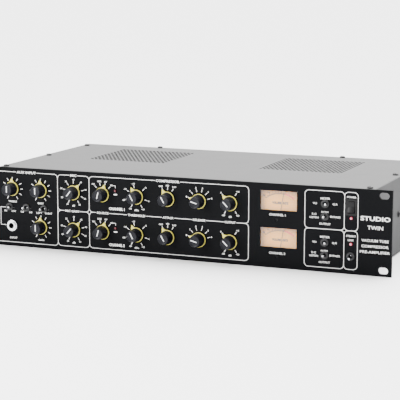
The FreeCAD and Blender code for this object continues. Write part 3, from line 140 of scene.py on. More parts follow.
# Words on the panel: text, place across, place up, height of its capitals and width.
TITLES = [
    ("AUX INPUT", -172.5, 39.3, 2.6, 24.0), ("MIC", -114.6, 39.3, 2.5, 7.5),
    ("COMPRESSOR", -3.0, 39.5, 2.7, 27.0), ("MIC GAIN", -116.5, 0.1, 2.3, 16.5),
    ("SOURCE", -79.6, 0.4, 2.3, 14.0), ("THRESHOLD", -39.3, 0.4, 2.3, 20.5),
    ("ATTACK", -2.5, 0.4, 2.3, 12.5), ("RELEASE", 33.0, 0.4, 2.3, 14.0),
    ("OUTPUT", 67.9, 0.4, 2.3, 12.5),
]
WORDS = [
    ("METER", 171.2, 32.0, 2.0, 10.0), ("METER", 171.2, -7.6, 2.0, 10.0),
    ("VU", 160.0, 26.6, 1.9, 4.2), ("VU", 160.0, -13.2, 1.9, 4.2),
    ("G.R", 181.6, 26.6, 1.9, 5.2), ("G.R", 181.6, -13.2, 1.9, 5.2),
    ("NORM", 170.8, 18.1, 1.7, 7.2), ("NORM", 170.8, -21.9, 1.7, 7.2),
    ("S.C", 159.6, 15.6, 1.8, 5.0), ("S.C", 159.6, -24.2, 1.8, 5.0),
    ("LISTEN", 159.6, 12.1, 1.8, 9.2), ("LISTEN", 159.6, -27.6, 1.8, 9.2),
    ("BYPASS", 181.9, 13.6, 1.9, 10.8), ("BYPASS", 181.9, -26.4, 1.9, 10.8),
    ("OUTPUT", 171.0, 5.9, 2.1, 12.0), ("OUTPUT", 171.0, -33.8, 2.1, 12.0),
    ("POWER", 198.7, 35.0, 1.9, 9.4), ("STEREO", 198.6, -4.7, 1.9, 9.8),
    ("LINK", 198.6, -8.9, 1.9, 6.0), ("CHANNEL 1", 120.0, 11.9, 2.3, 17.5),
    ("CHANNEL 2", 120.0, -28.3, 2.3, 17.5), ("INPUT", -189.8, -34.6, 2.2, 9.0),
    ("IN", -199.2, -4.6, 1.9, 2.8), ("OUT", -188.9, -4.6, 1.9, 5.6),
    ("LO", -178.1, -4.6, 1.9, 3.6), ("HI", -167.8, -4.6, 1.9, 3.2),
    ("LEFT", -157.0, -4.6, 1.9, 7.0), ("RIGHT", -145.5, -4.6, 1.9, 8.6),
]
BOLD_WORDS = [
    ("CHANNEL 1", -62.5, 5.9, 2.7, 18.5), ("CHANNEL 2", -62.8, -33.7, 2.7, 18.5),
    ("STUDIO", 223.8, 14.6, 4.4, 31.0),
]
NAME_WORDS = [
    ("TWIN", 223.8, 5.4, 4.0, 16.0), ("VACUUM TUBE", 223.8, -7.8, 2.7, 28.0),
    ("COMPRESSOR", 223.8, -13.7, 2.7, 28.0), ("PRE-AMPLIFIER", 223.8, -19.5, 2.7, 31.0),
]
DIM_WORDS = [("o", -188.8, -0.6, 1.2, 1.4), ("o", -168.0, -0.6, 1.2, 1.4),
             ("o", -145.9, -0.6, 1.2, 1.4)]
REAR_WORDS = [
    ("LINE IN", 66.0, 13.0, 2.6, 14.0), ("INSERT", 87.0, 13.0, 2.6, 13.0),
    ("LINE OUT", 108.0, 13.0, 2.6, 15.0), ("INPUT", 158.0, 20.5, 2.8, 12.0),
    ("OUTPUT", 190.0, 20.5, 2.8, 14.0),
]


# ---- sizes and colours a user can change ----------------------------------------------

def colour(name, description, default):
    return FloatVectorProperty(name=name, description=description, default=default,
                               subtype="COLOR", size=3, min=0.0, max=1.0)


def length(name, description, default):
    """A length in metres, given here in millimetres."""
    return FloatProperty(name=name, description=description, default=default * MM, min=0.0,
                         subtype="DISTANCE", unit="LENGTH", precision=5)


class CaseLook(bpy.types.PropertyGroup):
    panel_colour: colour("Panel", "Satin black of the front panel", (0.0030, 0.0032, 0.0038))
    cover_colour: colour("Cover", "Paint of the top cover", (0.075, 0.075, 0.0755))
    tray_colour: colour("Tray", "Paint of the tray and rear panel", (0.026, 0.026, 0.027))
    panel_edge: length("Panel edge", "Rounding of the front panel's edges", 0.35)
    sheet_edge: length("Sheet edge", "Rounding of the sheet metal's edges", 0.25)


class PrintLook(bpy.types.PropertyGroup):
    ink: colour("Ink", "Colour of the printing", (0.80, 0.80, 0.78))
    thickness: length("Ink thickness", "How far the printing stands off the panel", 0.05)
    frame_width: length("Frame line", "Width of the frame lines", 0.50)
    frame_corner: length("Frame corner", "Radius of the frames' corners", 4.2)
    mark_start: length("Mark start", "Distance of a mark's inner end from its knob's axis", 9.9)
    mark_length: length("Mark length", "Length of a scale mark", 3.1)
    mark_width: length("Mark width", "Width of a scale mark", 0.62)
    number_height: length("Number height", "Height of the numbers on the scales", 1.7)


class KnobLook(bpy.types.PropertyGroup):
    cap_colour: colour("Cap", "Moulding colour of the caps", (0.0034, 0.0037, 0.0062))
    pointer_colour: colour("Pointer", "Colour of the pointer rings", (0.70, 0.62, 0.09))
    line_colour: colour("Line", "Colour of the line on each cap", (0.70, 0.71, 0.72))
    flutes: IntProperty(name="Flutes", description="Number of grooves round a cap", default=24,
                        min=6, max=60)
    flute_depth: length("Flute depth", "Depth of the grooves", 0.32)
    line_width: length("Line width", "Width of the line on a cap", 0.95)


class SwitchLook(bpy.types.PropertyGroup):
    rocker_colour: colour("Rocker", "Moulding colour of the power rocker", (0.004, 0.004, 0.0045))
    lever_tip: length("Lever tip", "Radius of a toggle lever's tip", 1.3)
    lever_root: length("Lever root", "Radius of a toggle lever at its pivot", 0.8)


class MeterLook(bpy.types.PropertyGroup):
    card_colour: colour("Card", "Colour of the lit dial card", (0.62, 0.27, 0.035))
    zone_colour: colour("Zone", "Colour of the overload zone", (0.62, 0.075, 0.025))
    card_light: FloatProperty(name="Card light", description="Strength of the dial's lighting",
                              default=0.75, min=0.0)
    arc_radius: length("Arc radius", "Radius of the dial's scale line", 24.6)
    arc_angle: FloatProperty(name="Arc angle", description="Half the angle of the scale",
                             default=math.radians(38.0), subtype="ANGLE", unit="ROTATION")


class LampLook(bpy.types.PropertyGroup):
    lens_colour: colour("Lens", "Colour of a lamp's lens", (0.075, 0.0006, 0.006))
    core_colour: colour("Core", "Colour at the middle of a lit lens", (1.0, 0.42, 0.52))
    strength: FloatProperty(name="Strength", description="How brightly the lamps are lit",
                            default=6.0, min=0.0)


class FastenerLook(bpy.types.PropertyGroup):
    head_radius: length("Head radius", "Radius of a screw's head", 3.2)
    head_height: length("Head height", "Height of a screw's head", 2.2)
    recess_width: length("Recess width", "Width of a slot of the cross recess", 0.9)
    recess_depth: length("Recess depth", "Depth of the cross recess", 1.2)


class StageLook(bpy.types.PropertyGroup):
    floor_colour: colour("Floor", "Colour of the floor", (0.90, 0.90, 0.90))
    sun_strength: FloatProperty(name="Top light", description="Strength of the soft top light",
                                default=15.0, min=0.0)
    fill_power: FloatProperty(name="Front light", description="Power of the front light",
                              default=75.0, min=0.0, unit="POWER")
    sky_strength: FloatProperty(name="Room light", description="Strength of the room's light",
                                default=0.8, min=0.0)
    lens: FloatProperty(name="Lens", description="Focal length in millimetres", default=130.58)


LOOKS = {
    "rack_case": CaseLook, "rack_print": PrintLook, "rack_knobs": KnobLook,
    "rack_switches": SwitchLook, "rack_meters": MeterLook, "rack_lamps": LampLook,
    "rack_fasteners": FastenerLook, "rack_stage": StageLook,
}


# ---- meshes ---------------------------------------------------------------------------

def add_mesh(name, mesh):
    made = bpy.data.objects.new(name, mesh)
    bpy.context.scene.collection.objects.link(made)
    return made


def shade(mesh, angle=35.0):
    """Smooth shading that keeps edges sharper than the angle."""
    mesh.shade_smooth()
    mesh.set_sharp_from_angle(angle=math.radians(angle))
    return mesh


def baked(thing):
    """The evaluated mesh of an object, which is then removed."""
    bpy.context.view_layer.update()
    graph = bpy.context.evaluated_depsgraph_get()
    mesh = bpy.data.meshes.new_from_object(thing.evaluated_get(graph))
    old = thing.data
    bpy.data.objects.remove(thing)
    if isinstance(old, bpy.types.Mesh):
        bpy.data.meshes.remove(old)
    elif isinstance(old, bpy.types.Curve):
        bpy.data.curves.remove(old)
    return mesh


def mesh_from(bm, name):
    bmesh.ops.remove_doubles(bm, verts=bm.verts, dist=1e-7)
    bmesh.ops.recalc_face_normals(bm, faces=bm.faces)
    mesh = bpy.data.meshes.new(name)
    bm.to_mesh(mesh)
    bm.free()
    return mesh


def welded(node):
    """The node's loose triangles as one connected mesh."""
    bm = bmesh.new()
    bm.from_mesh(frame["nodes"][node].data)
    bmesh.ops.remove_doubles(bm, verts=bm.verts, dist=1e-6)
    return bm


def solid_boxes(node):
    """Lowest and highest corner of each separate solid of a node."""
    bm = welded(node)
    seen, boxes = set(), []
    for first in bm.verts:
        if first.index in seen:
            continue
        seen.add(first.index)
        heap, low, high = [first], first.co.copy(), first.co.copy()
        while heap:
            vert = heap.pop()
            low = Vector(map(min, low, vert.co))
            high = Vector(map(max, high, vert.co))
            for edge in vert.link_edges:
                other = edge.other_vert(vert)
                if other.index not in seen:
                    seen.add(other.index)
                    heap.append(other)
        boxes.append((low, high))
    bm.free()
    return boxes


def softened(node, width, segments=2, choose=None):
    """A welded copy of a node with rounded edges. choose gives each face a material."""
    bm = welded(node)
    bmesh.ops.dissolve_limit(bm, angle_limit=math.radians(0.6), verts=bm.verts, edges=bm.edges)
    mesh = bpy.data.meshes.new(node + "_copy")
    bm.to_mesh(mesh)
    bm.free()
    mesh.shade_smooth()
    copy = add_mesh(node + "_copy", mesh)
    bevel = copy.modifiers.new("edges", "BEVEL")
    bevel.width = width
    bevel.segments = segments
    bevel.limit_method = "ANGLE"
    bevel.angle_limit = math.radians(40)
    even = copy.modifiers.new("even", "WEIGHTED_NORMAL")
    even.keep_sharp = True
    mesh = baked(copy)
    if choose:
        for face in mesh.polygons:
            face.material_index = choose(face.center / MM)
    return mesh


def flat_shape(name, loops, front, back, edge=0.0):
    """A closed plate between two depths. Its outline and holes are loops of points across and
    up, in millimetres."""
    curve = bpy.data.curves.new(name, "CURVE")
    curve.dimensions = "2D"
    curve.fill_mode = "BOTH"
    for loop in loops:
        spline = curve.splines.new("POLY")
        spline.points.add(len(loop) - 1)
        for point, (across, up) in zip(spline.points, loop):
            point.co = (across * MM, up * MM, 0, 1)
        spline.use_cyclic_u = True
    curve.extrude = (abs(back - front) / 2 - edge) * MM
    curve.bevel_depth = edge * MM
    curve.bevel_resolution = 1
    curve.offset = -edge * MM
    mesh = baked(add_mesh(name, curve))
    mesh.transform(Matrix.Translation((0, (front + back) / 2 * MM, 0))
                   @ Matrix.Rotation(math.radians(90), 4, "X"))
    bm = bmesh.new()
    bm.from_mesh(mesh)
    bpy.data.meshes.remove(mesh)
    return mesh_from(bm, name)


def circle(across, up, radius, count=48):
    return [(across + radius * math.sin(math.tau * step / count),
             up + radius * math.cos(math.tau * step / count)) for step in range(count)]


def round_box(left, right, low, high, radius, steps=7):
    """Points round a box with rounded corners, in millimetres."""
    corners = [(right - radius, high - radius, 0), (left + radius, high - radius, 90),
               (left + radius, low + radius, 180), (right - radius, low + radius, 270)]
    points = []
    for across, up, start in corners:
        for step in range(steps + 1):
            angle = math.radians(start + 90 * step / steps)
            points.append((across + radius * math.cos(angle), up + radius * math.sin(angle)))
    return points


def turned(name, profile, count=32, flutes=0, flute_depth=0.0):
    """A shape turned about Y from points of radius, place along Y and share of flute."""
    bm = bmesh.new()
    rings = []
    for radius, along, share in profile:
        if radius == 0:
            rings.append([bm.verts.new((0, along * MM, 0))])
            continue
        ring = []
        for step in range(count):
            angle = math.tau * step / count
            wave = (0.5 - 0.5 * math.cos(flutes * angle)) ** 2 if flutes else 0.0
            reach = (radius - share * flute_depth * wave) * MM
            ring.append(bm.verts.new((reach * math.sin(angle), along * MM,
                                      reach * math.cos(angle))))
        rings.append(ring)
    for one, two in zip(rings, rings[1:]):
        for step in range(count):
            a, b = one[step % len(one)], one[(step + 1) % len(one)]
            c, d = two[(step + 1) % len(two)], two[step % len(two)]
            corners = [v for index, v in enumerate((a, b, c, d))
                       if v not in (a, b, c, d)[:index]]
            if len(corners) > 2:
                bm.faces.new(corners)
    return mesh_from(bm, name)


def joined(name, meshes):
    """One mesh from several, each with its first material's index kept."""
    bm = bmesh.new()
    for mesh in meshes:
        bm.from_mesh(mesh)
        bpy.data.meshes.remove(mesh)
    mesh = bpy.data.meshes.new(name)
    bm.to_mesh(mesh)
    bm.free()
    return mesh


def combined(base, other, operation):
    """Two closed meshes joined or cut as solids."""
    first, second = add_mesh("first", base), add_mesh("second", other)
    solver = first.modifiers.new("solids", "BOOLEAN")
    solver.operation = operation
    solver.solver = "EXACT"
    solver.object = second
    mesh = baked(first)
    bpy.data.objects.remove(second)
    bpy.data.meshes.remove(other)
    return mesh


def lettering(words, depth, thickness, weight=0.0, facing=1):
    """Words as one mesh on a face at a depth along Y. facing -1 reads from the rear."""
    meshes = []
    for text, across, up, height, width in words:
        curve = bpy.data.curves.new(text, "FONT")
        curve.body = text
        curve.size = height / 0.72 * MM
        curve.align_x = "CENTER"
        curve.resolution_u = 2
        curve.extrude = (thickness + PRINT_SINK) / 2 * MM
        curve.offset = weight * MM
        mesh = baked(add_mesh("word", curve))
        low = min(vert.co.x for vert in mesh.vertices)
        high = max(vert.co.x for vert in mesh.vertices)
        fit = width * MM / (high - low)
        middle = (depth - facing * (thickness - PRINT_SINK) / 2) * MM
        place = Matrix.Translation((across * MM, middle, (up - height / 2) * MM))
        spin = Matrix.Rotation(0 if facing > 0 else math.pi, 4, "Z")
        centre = Matrix.Translation((-fit * (low + high) / 2, 0, 0))
        mesh.transform(place @ spin @ Matrix.Rotation(math.radians(90), 4, "X") @ centre
                       @ Matrix.Diagonal((fit, 1, 1, 1)))
        bm = bmesh.new()
        bm.from_mesh(mesh)
        bpy.data.meshes.remove(mesh)
        meshes.append(mesh_from(bm, "word"))
    return joined("words", meshes)


def finish_piece(name, mesh, body, slot, materials, replaces=()):
    """Puts a finished mesh in the scene, on its body and with its materials."""
    made = add_mesh(name, mesh)
    mesh.name = name
    chosen = [face.material_index for face in mesh.polygons]
    mesh.materials.clear()
    for material in materials:
        mesh.materials.append(material)
    last = len(materials) - 1
    mesh.polygons.foreach_set("material_index", [min(index, last) for index in chosen])
    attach(made, body)
    if replaces:
        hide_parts(*replaces)
    return made


def coat(node, material):
    """Gives a carried-over node its material."""
    data = frame["nodes"][node].data
    data.materials.clear()
    data.materials.append(material)


# ---- geometry node trees --------------------------------------------------------------

def start_tree(name, sockets):
    tree = bpy.data.node_groups.new(name, "GeometryNodeTree")
    tree.interface.new_socket("Geometry", in_out="OUTPUT", socket_type="NodeSocketGeometry")
    tree.interface.new_socket("Points", in_out="INPUT", socket_type="NodeSocketGeometry")
    for socket, kind in sockets:
        tree.interface.new_socket(socket, in_out="INPUT", socket_type=kind)
    return tree, tree.nodes.new("NodeGroupInput"), tree.nodes.new("NodeGroupOutput")


def end_tree(tree, given, result, instances):
    """Makes the instances real, gives them the material and sends them out."""
    link = tree.links.new
    realize = tree.nodes.new("GeometryNodeRealizeInstances")
    paint = tree.nodes.new("GeometryNodeSetMaterial")
    link(instances, realize.inputs["Geometry"])
    link(realize.outputs["Geometry"], paint.inputs["Geometry"])
    link(given.outputs["Material"], paint.inputs["Material"])
    link(paint.outputs["Geometry"], result.inputs["Geometry"])
    return tree


def turn_of_points(tree):
    turn = tree.nodes.new("GeometryNodeInputNamedAttribute")
    turn.data_type = "FLOAT_VECTOR"
    turn.inputs["Name"].default_value = "turn"
    return turn.outputs["Attribute"]


def marks_tree():
    """A printed mark at each point, turned about the point's axis."""
    tree, given, result = start_tree("scale_marks", [
        ("Start", "NodeSocketFloat"), ("Length", "NodeSocketFloat"),
        ("Width", "NodeSocketFloat"), ("Thickness", "NodeSocketFloat"),
        ("Material", "NodeSocketMaterial")])
    link = tree.links.new
    size = tree.nodes.new("ShaderNodeCombineXYZ")
    bar = tree.nodes.new("GeometryNodeMeshCube")
    half = tree.nodes.new("ShaderNodeMath")
    half.operation = "MULTIPLY_ADD"
    half.inputs[1].default_value = 0.5
    shift = tree.nodes.new("ShaderNodeCombineXYZ")
    move = tree.nodes.new("GeometryNodeTransform")
    spread = tree.nodes.new("GeometryNodeInstanceOnPoints")
    link(given.outputs["Width"], size.inputs["X"])
    link(given.outputs["Thickness"], size.inputs["Y"])
    link(given.outputs["Length"], size.inputs["Z"])
    link(size.outputs["Vector"], bar.inputs["Size"])
    link(given.outputs["Length"], half.inputs[0])
    link(given.outputs["Start"], half.inputs[2])
    link(half.outputs[0], shift.inputs["Z"])
    link(bar.outputs["Mesh"], move.inputs["Geometry"])
    link(shift.outputs["Vector"], move.inputs["Translation"])
    link(given.outputs["Points"], spread.inputs["Points"])
    link(move.outputs["Geometry"], spread.inputs["Instance"])
    link(turn_of_points(tree), spread.inputs["Rotation"])
    return end_tree(tree, given, result, spread.outputs["Instances"])


def fasteners_tree():
    """A copy of one fastener at each point, turned as the point says."""
    tree, given, result = start_tree("fasteners", [
        ("Fastener", "NodeSocketObject"), ("Material", "NodeSocketMaterial")])
    link = tree.links.new
    source = tree.nodes.new("GeometryNodeObjectInfo")
    spread = tree.nodes.new("GeometryNodeInstanceOnPoints")
    link(given.outputs["Fastener"], source.inputs["Object"])
    link(given.outputs["Points"], spread.inputs["Points"])
    link(source.outputs["Geometry"], spread.inputs["Instance"])
    link(turn_of_points(tree), spread.inputs["Rotation"])
    return end_tree(tree, given, result, spread.outputs["Instances"])


def grown(name, tree, points, values):
    """The mesh a tree grows on points, each a place and a turn."""
    mesh = bpy.data.meshes.new(name)
    mesh.from_pydata([place for place, turn in points], [], [])
    turns = mesh.attributes.new("turn", "FLOAT_VECTOR", "POINT")
    for item, (place, turn) in zip(turns.data, points):
        item.vector = turn
    holder = add_mesh(name, mesh)
    modifier = holder.modifiers.new("grow", "NODES")
    modifier.node_group = tree
    for item in tree.interface.items_tree:
        if item.in_out == "INPUT" and item.name in values:
            modifier[item.identifier] = values[item.name]
    return baked(holder)


# ---- shader node groups ---------------------------------------------------------------

def start_group(name, inputs, outputs):
    tree = bpy.data.node_groups.new(name, "ShaderNodeTree")
    for socket, kind, default in inputs:
        made = tree.interface.new_socket(socket, in_out="INPUT", socket_type=kind)
        made.default_value = default
    for socket, kind in outputs:
        tree.interface.new_socket(socket, in_out="OUTPUT", socket_type=kind)
    return tree, tree.nodes.new("NodeGroupInput"), tree.nodes.new("NodeGroupOutput")


def math_node(tree, operation, *values):
    made = tree.nodes.new("ShaderNodeMath")
    made.operation = operation
    for socket, value in zip(made.inputs, values):
        if isinstance(value, bpy.types.NodeSocket):
            tree.links.new(value, socket)
        else:
            socket.default_value = value
    return made.outputs[0]


def noise_node(tree, vector, scale, detail):
    made = tree.nodes.new("ShaderNodeTexNoise")
    tree.links.new(vector, made.inputs["Vector"])
    if isinstance(scale, bpy.types.NodeSocket):
        tree.links.new(scale, made.inputs["Scale"])
    else:
        made.inputs["Scale"].default_value = scale
    made.inputs["Detail"].default_value = detail
    return made.outputs["Fac"]


def mix_colours(tree, share, first, second):
    made = tree.nodes.new("ShaderNodeMix")
    made.data_type = "RGBA"
    sockets = [s for s in made.inputs if s.enabled]
    for socket, value in zip(sockets, (share, first, second)):
        if isinstance(value, bpy.types.NodeSocket):
            tree.links.new(value, socket)
        else:
            socket.default_value = value
    return next(s for s in made.outputs if s.enabled)


def grain_group():
    """Fine relief of a paint, moulding or drawn metal."""
    tree, given, result = start_group(
        "surface_grain",
        [("Scale", "NodeSocketFloat", 2000.0), ("Stretch", "NodeSocketVector", (1, 1, 1)),
         ("Coarse", "NodeSocketFloat", 0.3)],
        [("Height", "NodeSocketFloat")])
    place = tree.nodes.new("ShaderNodeTexCoord").outputs["Object"]
    stretch = tree.nodes.new("ShaderNodeVectorMath")
    stretch.operation = "MULTIPLY"
    tree.links.new(place, stretch.inputs[0])
    tree.links.new(given.outputs["Stretch"], stretch.inputs[1])
    fine = noise_node(tree, stretch.outputs["Vector"], given.outputs["Scale"], 4.0)
    slow = math_node(tree, "MULTIPLY", given.outputs["Scale"], 0.12)
    broad = noise_node(tree, stretch.outputs["Vector"], slow, 2.0)
    height = math_node(tree, "MULTIPLY_ADD", broad, given.outputs["Coarse"], fine)
    tree.links.new(height, result.inputs["Height"])
    return tree


def use_group():
    """Marks of use: uneven tone, dust that settles on top, and bare edges."""
    tree, given, result = start_group(
        "signs_of_use",
        [("Colour", "NodeSocketColor", (0.5, 0.5, 0.5, 1)),
         ("Bare Colour", "NodeSocketColor", (0.5, 0.5, 0.5, 1)),
         ("Tone", "NodeSocketFloat", 0.1), ("Dust", "NodeSocketFloat", 0.05),
         ("Wear", "NodeSocketFloat", 0.0), ("Roughness", "NodeSocketFloat", 0.4),
         ("Uneven", "NodeSocketFloat", 0.1)],
        [("Colour", "NodeSocketColor"), ("Roughness", "NodeSocketFloat")])
    place = tree.nodes.new("ShaderNodeTexCoord").outputs["Object"]
    surface = tree.nodes.new("ShaderNodeNewGeometry")
    blotch = noise_node(tree, place, 22.0, 3.0)
    speck = noise_node(tree, place, 640.0, 3.0)
    tone = math_node(tree, "MULTIPLY", math_node(tree, "SUBTRACT", blotch, 0.5),
                     given.outputs["Tone"])
    darker = mix_colours(tree, math_node(tree, "ABSOLUTE", tone), given.outputs["Colour"],
                         (0.0, 0.0, 0.0, 1.0))
    split = tree.nodes.new("ShaderNodeSeparateXYZ")
    tree.links.new(surface.outputs["Normal"], split.inputs[0])
    upward = math_node(tree, "MAXIMUM", split.outputs["Z"], 0.0)
    settled = math_node(tree, "MULTIPLY", math_node(tree, "MULTIPLY", upward, speck),
                        given.outputs["Dust"])
    dusty = mix_colours(tree, settled, darker, (0.42, 0.40, 0.37, 1.0))
    edge = tree.nodes.new("ShaderNodeMapRange")
    edge.inputs["From Min"].default_value = 0.54
    edge.inputs["From Max"].default_value = 0.66
    tree.links.new(surface.outputs["Pointiness"], edge.inputs["Value"])
    worn = math_node(tree, "MULTIPLY", math_node(tree, "MULTIPLY", edge.outputs[0], speck),
                     given.outputs["Wear"])
    shown = mix_colours(tree, worn, dusty, given.outputs["Bare Colour"])
    rough = math_node(tree, "MULTIPLY_ADD", math_node(tree, "SUBTRACT", blotch, 0.5),
                      given.outputs["Uneven"], given.outputs["Roughness"])
    rough = math_node(tree, "ADD", rough, math_node(tree, "MULTIPLY", settled, 0.5))
    tree.links.new(shown, result.inputs["Colour"])
    tree.links.new(rough, result.inputs["Roughness"])
    return tree


def shader_group(name):
    made = {"surface_grain": grain_group, "signs_of_use": use_group}
    return bpy.data.node_groups.get(name) or made[name]()


def place_group(tree, name, values):
    made = tree.nodes.new("ShaderNodeGroup")
    made.node_tree = shader_group(name)
    for socket, value in values.items():
        made.inputs[socket].default_value = value
    return made


# ---- materials ------------------------------------------------------------------------

def finish(name, colour, roughness=0.4, metallic=0.0, grain=1800.0, relief=0.15, tone=0.25,
           dust=0.04, wear=0.0, bare=(0.5, 0.5, 0.5), uneven=0.12, stretch=(1, 1, 1),
           specular=0.5, coat_weight=0.0):
    """A material with fine relief, uneven tone, dust and bare edges."""
    made = bpy.data.materials.get(name)
    if made:
        return made
    made = bpy.data.materials.new(name)
    made.use_nodes = True
    tree = made.node_tree
    shader = tree.nodes["Principled BSDF"]
    shader.inputs["Metallic"].default_value = metallic
    shader.inputs["Specular IOR Level"].default_value = specular
    shader.inputs["Coat Weight"].default_value = coat_weight
    shader.inputs["Coat Roughness"].default_value = 0.12
    used = place_group(tree, "signs_of_use", {
        "Colour": (*colour, 1), "Bare Colour": (*bare, 1), "Tone": tone, "Dust": dust,
        "Wear": wear, "Roughness": roughness, "Uneven": uneven})
    relief_height = place_group(tree, "surface_grain", {"Scale": grain, "Stretch": stretch})
    bump = tree.nodes.new("ShaderNodeBump")
    bump.inputs["Strength"].default_value = relief
    bump.inputs["Distance"].default_value = 0.05 * MM
    tree.links.new(used.outputs["Colour"], shader.inputs["Base Color"])
    tree.links.new(used.outputs["Roughness"], shader.inputs["Roughness"])
    tree.links.new(relief_height.outputs["Height"], bump.inputs["Height"])
    tree.links.new(bump.outputs["Normal"], shader.inputs["Normal"])
    return made


def chrome():
    return finish("bright chrome", (0.72, 0.73, 0.75), 0.14, 1.0, grain=900, relief=0.05,
                  tone=0.3, dust=0.02, uneven=0.1)


def nickel():
    return finish("satin nickel", (0.52, 0.51, 0.48), 0.32, 1.0, grain=1600, relief=0.12,
                  tone=0.4, uneven=0.16)


def zinc():
    return finish("zinc plate", (0.46, 0.47, 0.48), 0.42, 1.0, grain=700, relief=0.2, tone=0.6,
                  uneven=0.2)


def black_plastic():
    return finish("black moulding", (0.0055, 0.0055, 0.006), 0.38, grain=2600, relief=0.25,
                  specular=0.15)


def tray_paint():
    look = bpy.context.scene.rack_case
    return finish("tray paint", look.tray_colour, 0.55, grain=1500, relief=0.3, tone=0.25,
                  dust=0.03, specular=0.12)


def white_ink():
    look = bpy.context.scene.rack_print
    return finish("white ink", look.ink, 0.6, grain=5200, relief=0.3, tone=0.3, dust=0.0)


def dark_ink():
    return finish("dark ink", (0.012, 0.011, 0.010), 0.6, grain=5200, relief=0.3, dust=0.0)


def card_paint(look):
    """The meters' lit card, with painted light in its colour and glow: brightest low in the
    middle, with painted shade dimming it to its edges.
    """
    made = bpy.data.materials.new("lit dial card")
    made.use_nodes = True
    tree = made.node_tree
    shader = tree.nodes["Principled BSDF"]
    across = tree.nodes.new("ShaderNodeUVMap")
    across.uv_map = "card"
    split = tree.nodes.new("ShaderNodeSeparateXYZ")
    tree.links.new(across.outputs["UV"], split.inputs[0])
    # Painted light: a pool of backlight brightest low in the middle, falling off to the sides and
    # away from a line low on the card; paper fibre noise is added to this mask.
    side = math_node(tree, "POWER", math_node(tree, "ABSOLUTE", math_node(
        tree, "MULTIPLY", math_node(tree, "SUBTRACT", split.outputs["X"], 0.5), 2.0)), 2.6)
    rise = math_node(tree, "POWER", math_node(tree, "ABSOLUTE", math_node(
        tree, "SUBTRACT", split.outputs["Y"], 0.34)), 2.0)
    painted_shade_and_fibre = math_node(tree, "ADD", math_node(tree, "MULTIPLY", side, 0.42),
                     math_node(tree, "MULTIPLY", rise, 1.5))
    fibre = noise_node(tree, tree.nodes.new("ShaderNodeTexCoord").outputs["Object"], 900.0, 4.0)
    painted_shade_and_fibre = math_node(tree, "ADD", painted_shade_and_fibre, math_node(tree, "MULTIPLY", fibre, 0.16))
    # Painted shade: towards the card's edges its colour darkens and browns, for the bezel's
    # shadow and the fading backlight, in both base colour and glow.
    edge = tuple(0.30 * part for part in look.card_colour)
    lit = mix_colours(tree, painted_shade_and_fibre, (*look.card_colour, 1), (edge[0], edge[1] * 0.82,
                                                           edge[2] * 0.6, 1))
    tree.links.new(lit, shader.inputs["Base Color"])
    tree.links.new(lit, shader.inputs["Emission Color"])
    shader.inputs["Emission Strength"].default_value = look.card_light
    shader.inputs["Roughness"].default_value = 0.7
    grain = place_group(tree, "surface_grain", {"Scale": 3200.0})
    bump = tree.nodes.new("ShaderNodeBump")
    bump.inputs["Strength"].default_value = 0.2
    bump.inputs["Distance"].default_value = 0.03 * MM
    tree.links.new(grain.outputs["Height"], bump.inputs["Height"])
    tree.links.new(bump.outputs["Normal"], shader.inputs["Normal"])
    return made


def clear_glass(name, tint, roughness):
    """Glass that lets lamps through to what is behind it."""
    made = bpy.data.materials.new(name)
    made.use_nodes = True
    tree = made.node_tree
    shader = tree.nodes["Principled BSDF"]
    shader.inputs["Base Color"].default_value = (*tint, 1)
    shader.inputs["Transmission Weight"].default_value = 1.0
    shader.inputs["IOR"].default_value = 1.46
    smear = noise_node(tree, tree.nodes.new("ShaderNodeTexCoord").outputs["Object"], 60.0, 3.0)
    tree.links.new(math_node(tree, "MULTIPLY_ADD", smear, 0.05, roughness),
                   shader.inputs["Roughness"])
    through = tree.nodes.new("ShaderNodeBsdfTransparent")
    path = tree.nodes.new("ShaderNodeLightPath")
    both = tree.nodes.new("ShaderNodeMixShader")
    out = tree.nodes["Material Output"]
    tree.links.new(path.outputs["Is Shadow Ray"], both.inputs[0])
    tree.links.new(shader.outputs[0], both.inputs[1])
    tree.links.new(through.outputs[0], both.inputs[2])
    tree.links.new(both.outputs[0], out.inputs["Surface"])
    return made


def lamp_lens(look):
    """A lit red lens, nearly white at its middle."""
    made = bpy.data.materials.new("lit red lens")
    made.use_nodes = True
    tree = made.node_tree
    shader = tree.nodes["Principled BSDF"]
    across = tree.nodes.new("ShaderNodeUVMap")
    across.uv_map = "lens"
    split = tree.nodes.new("ShaderNodeSeparateXYZ")
    tree.links.new(across.outputs["UV"], split.inputs[0])
    share = math_node(tree, "POWER", split.outputs["X"], 0.45)
    core = mix_colours(tree, share, (*look.core_colour, 1), (*look.lens_colour, 1))
    dark = tuple(0.02 * part for part in look.lens_colour)
    lit = mix_colours(tree, split.outputs["Y"], (*dark, 1), core)
    shader.inputs["Base Color"].default_value = (*look.lens_colour, 1)
    tree.links.new(lit, shader.inputs["Emission Color"])
    shader.inputs["Emission Strength"].default_value = look.strength
    shader.inputs["Roughness"].default_value = 0.18
    shader.inputs["Coat Weight"].default_value = 0.5
    return made


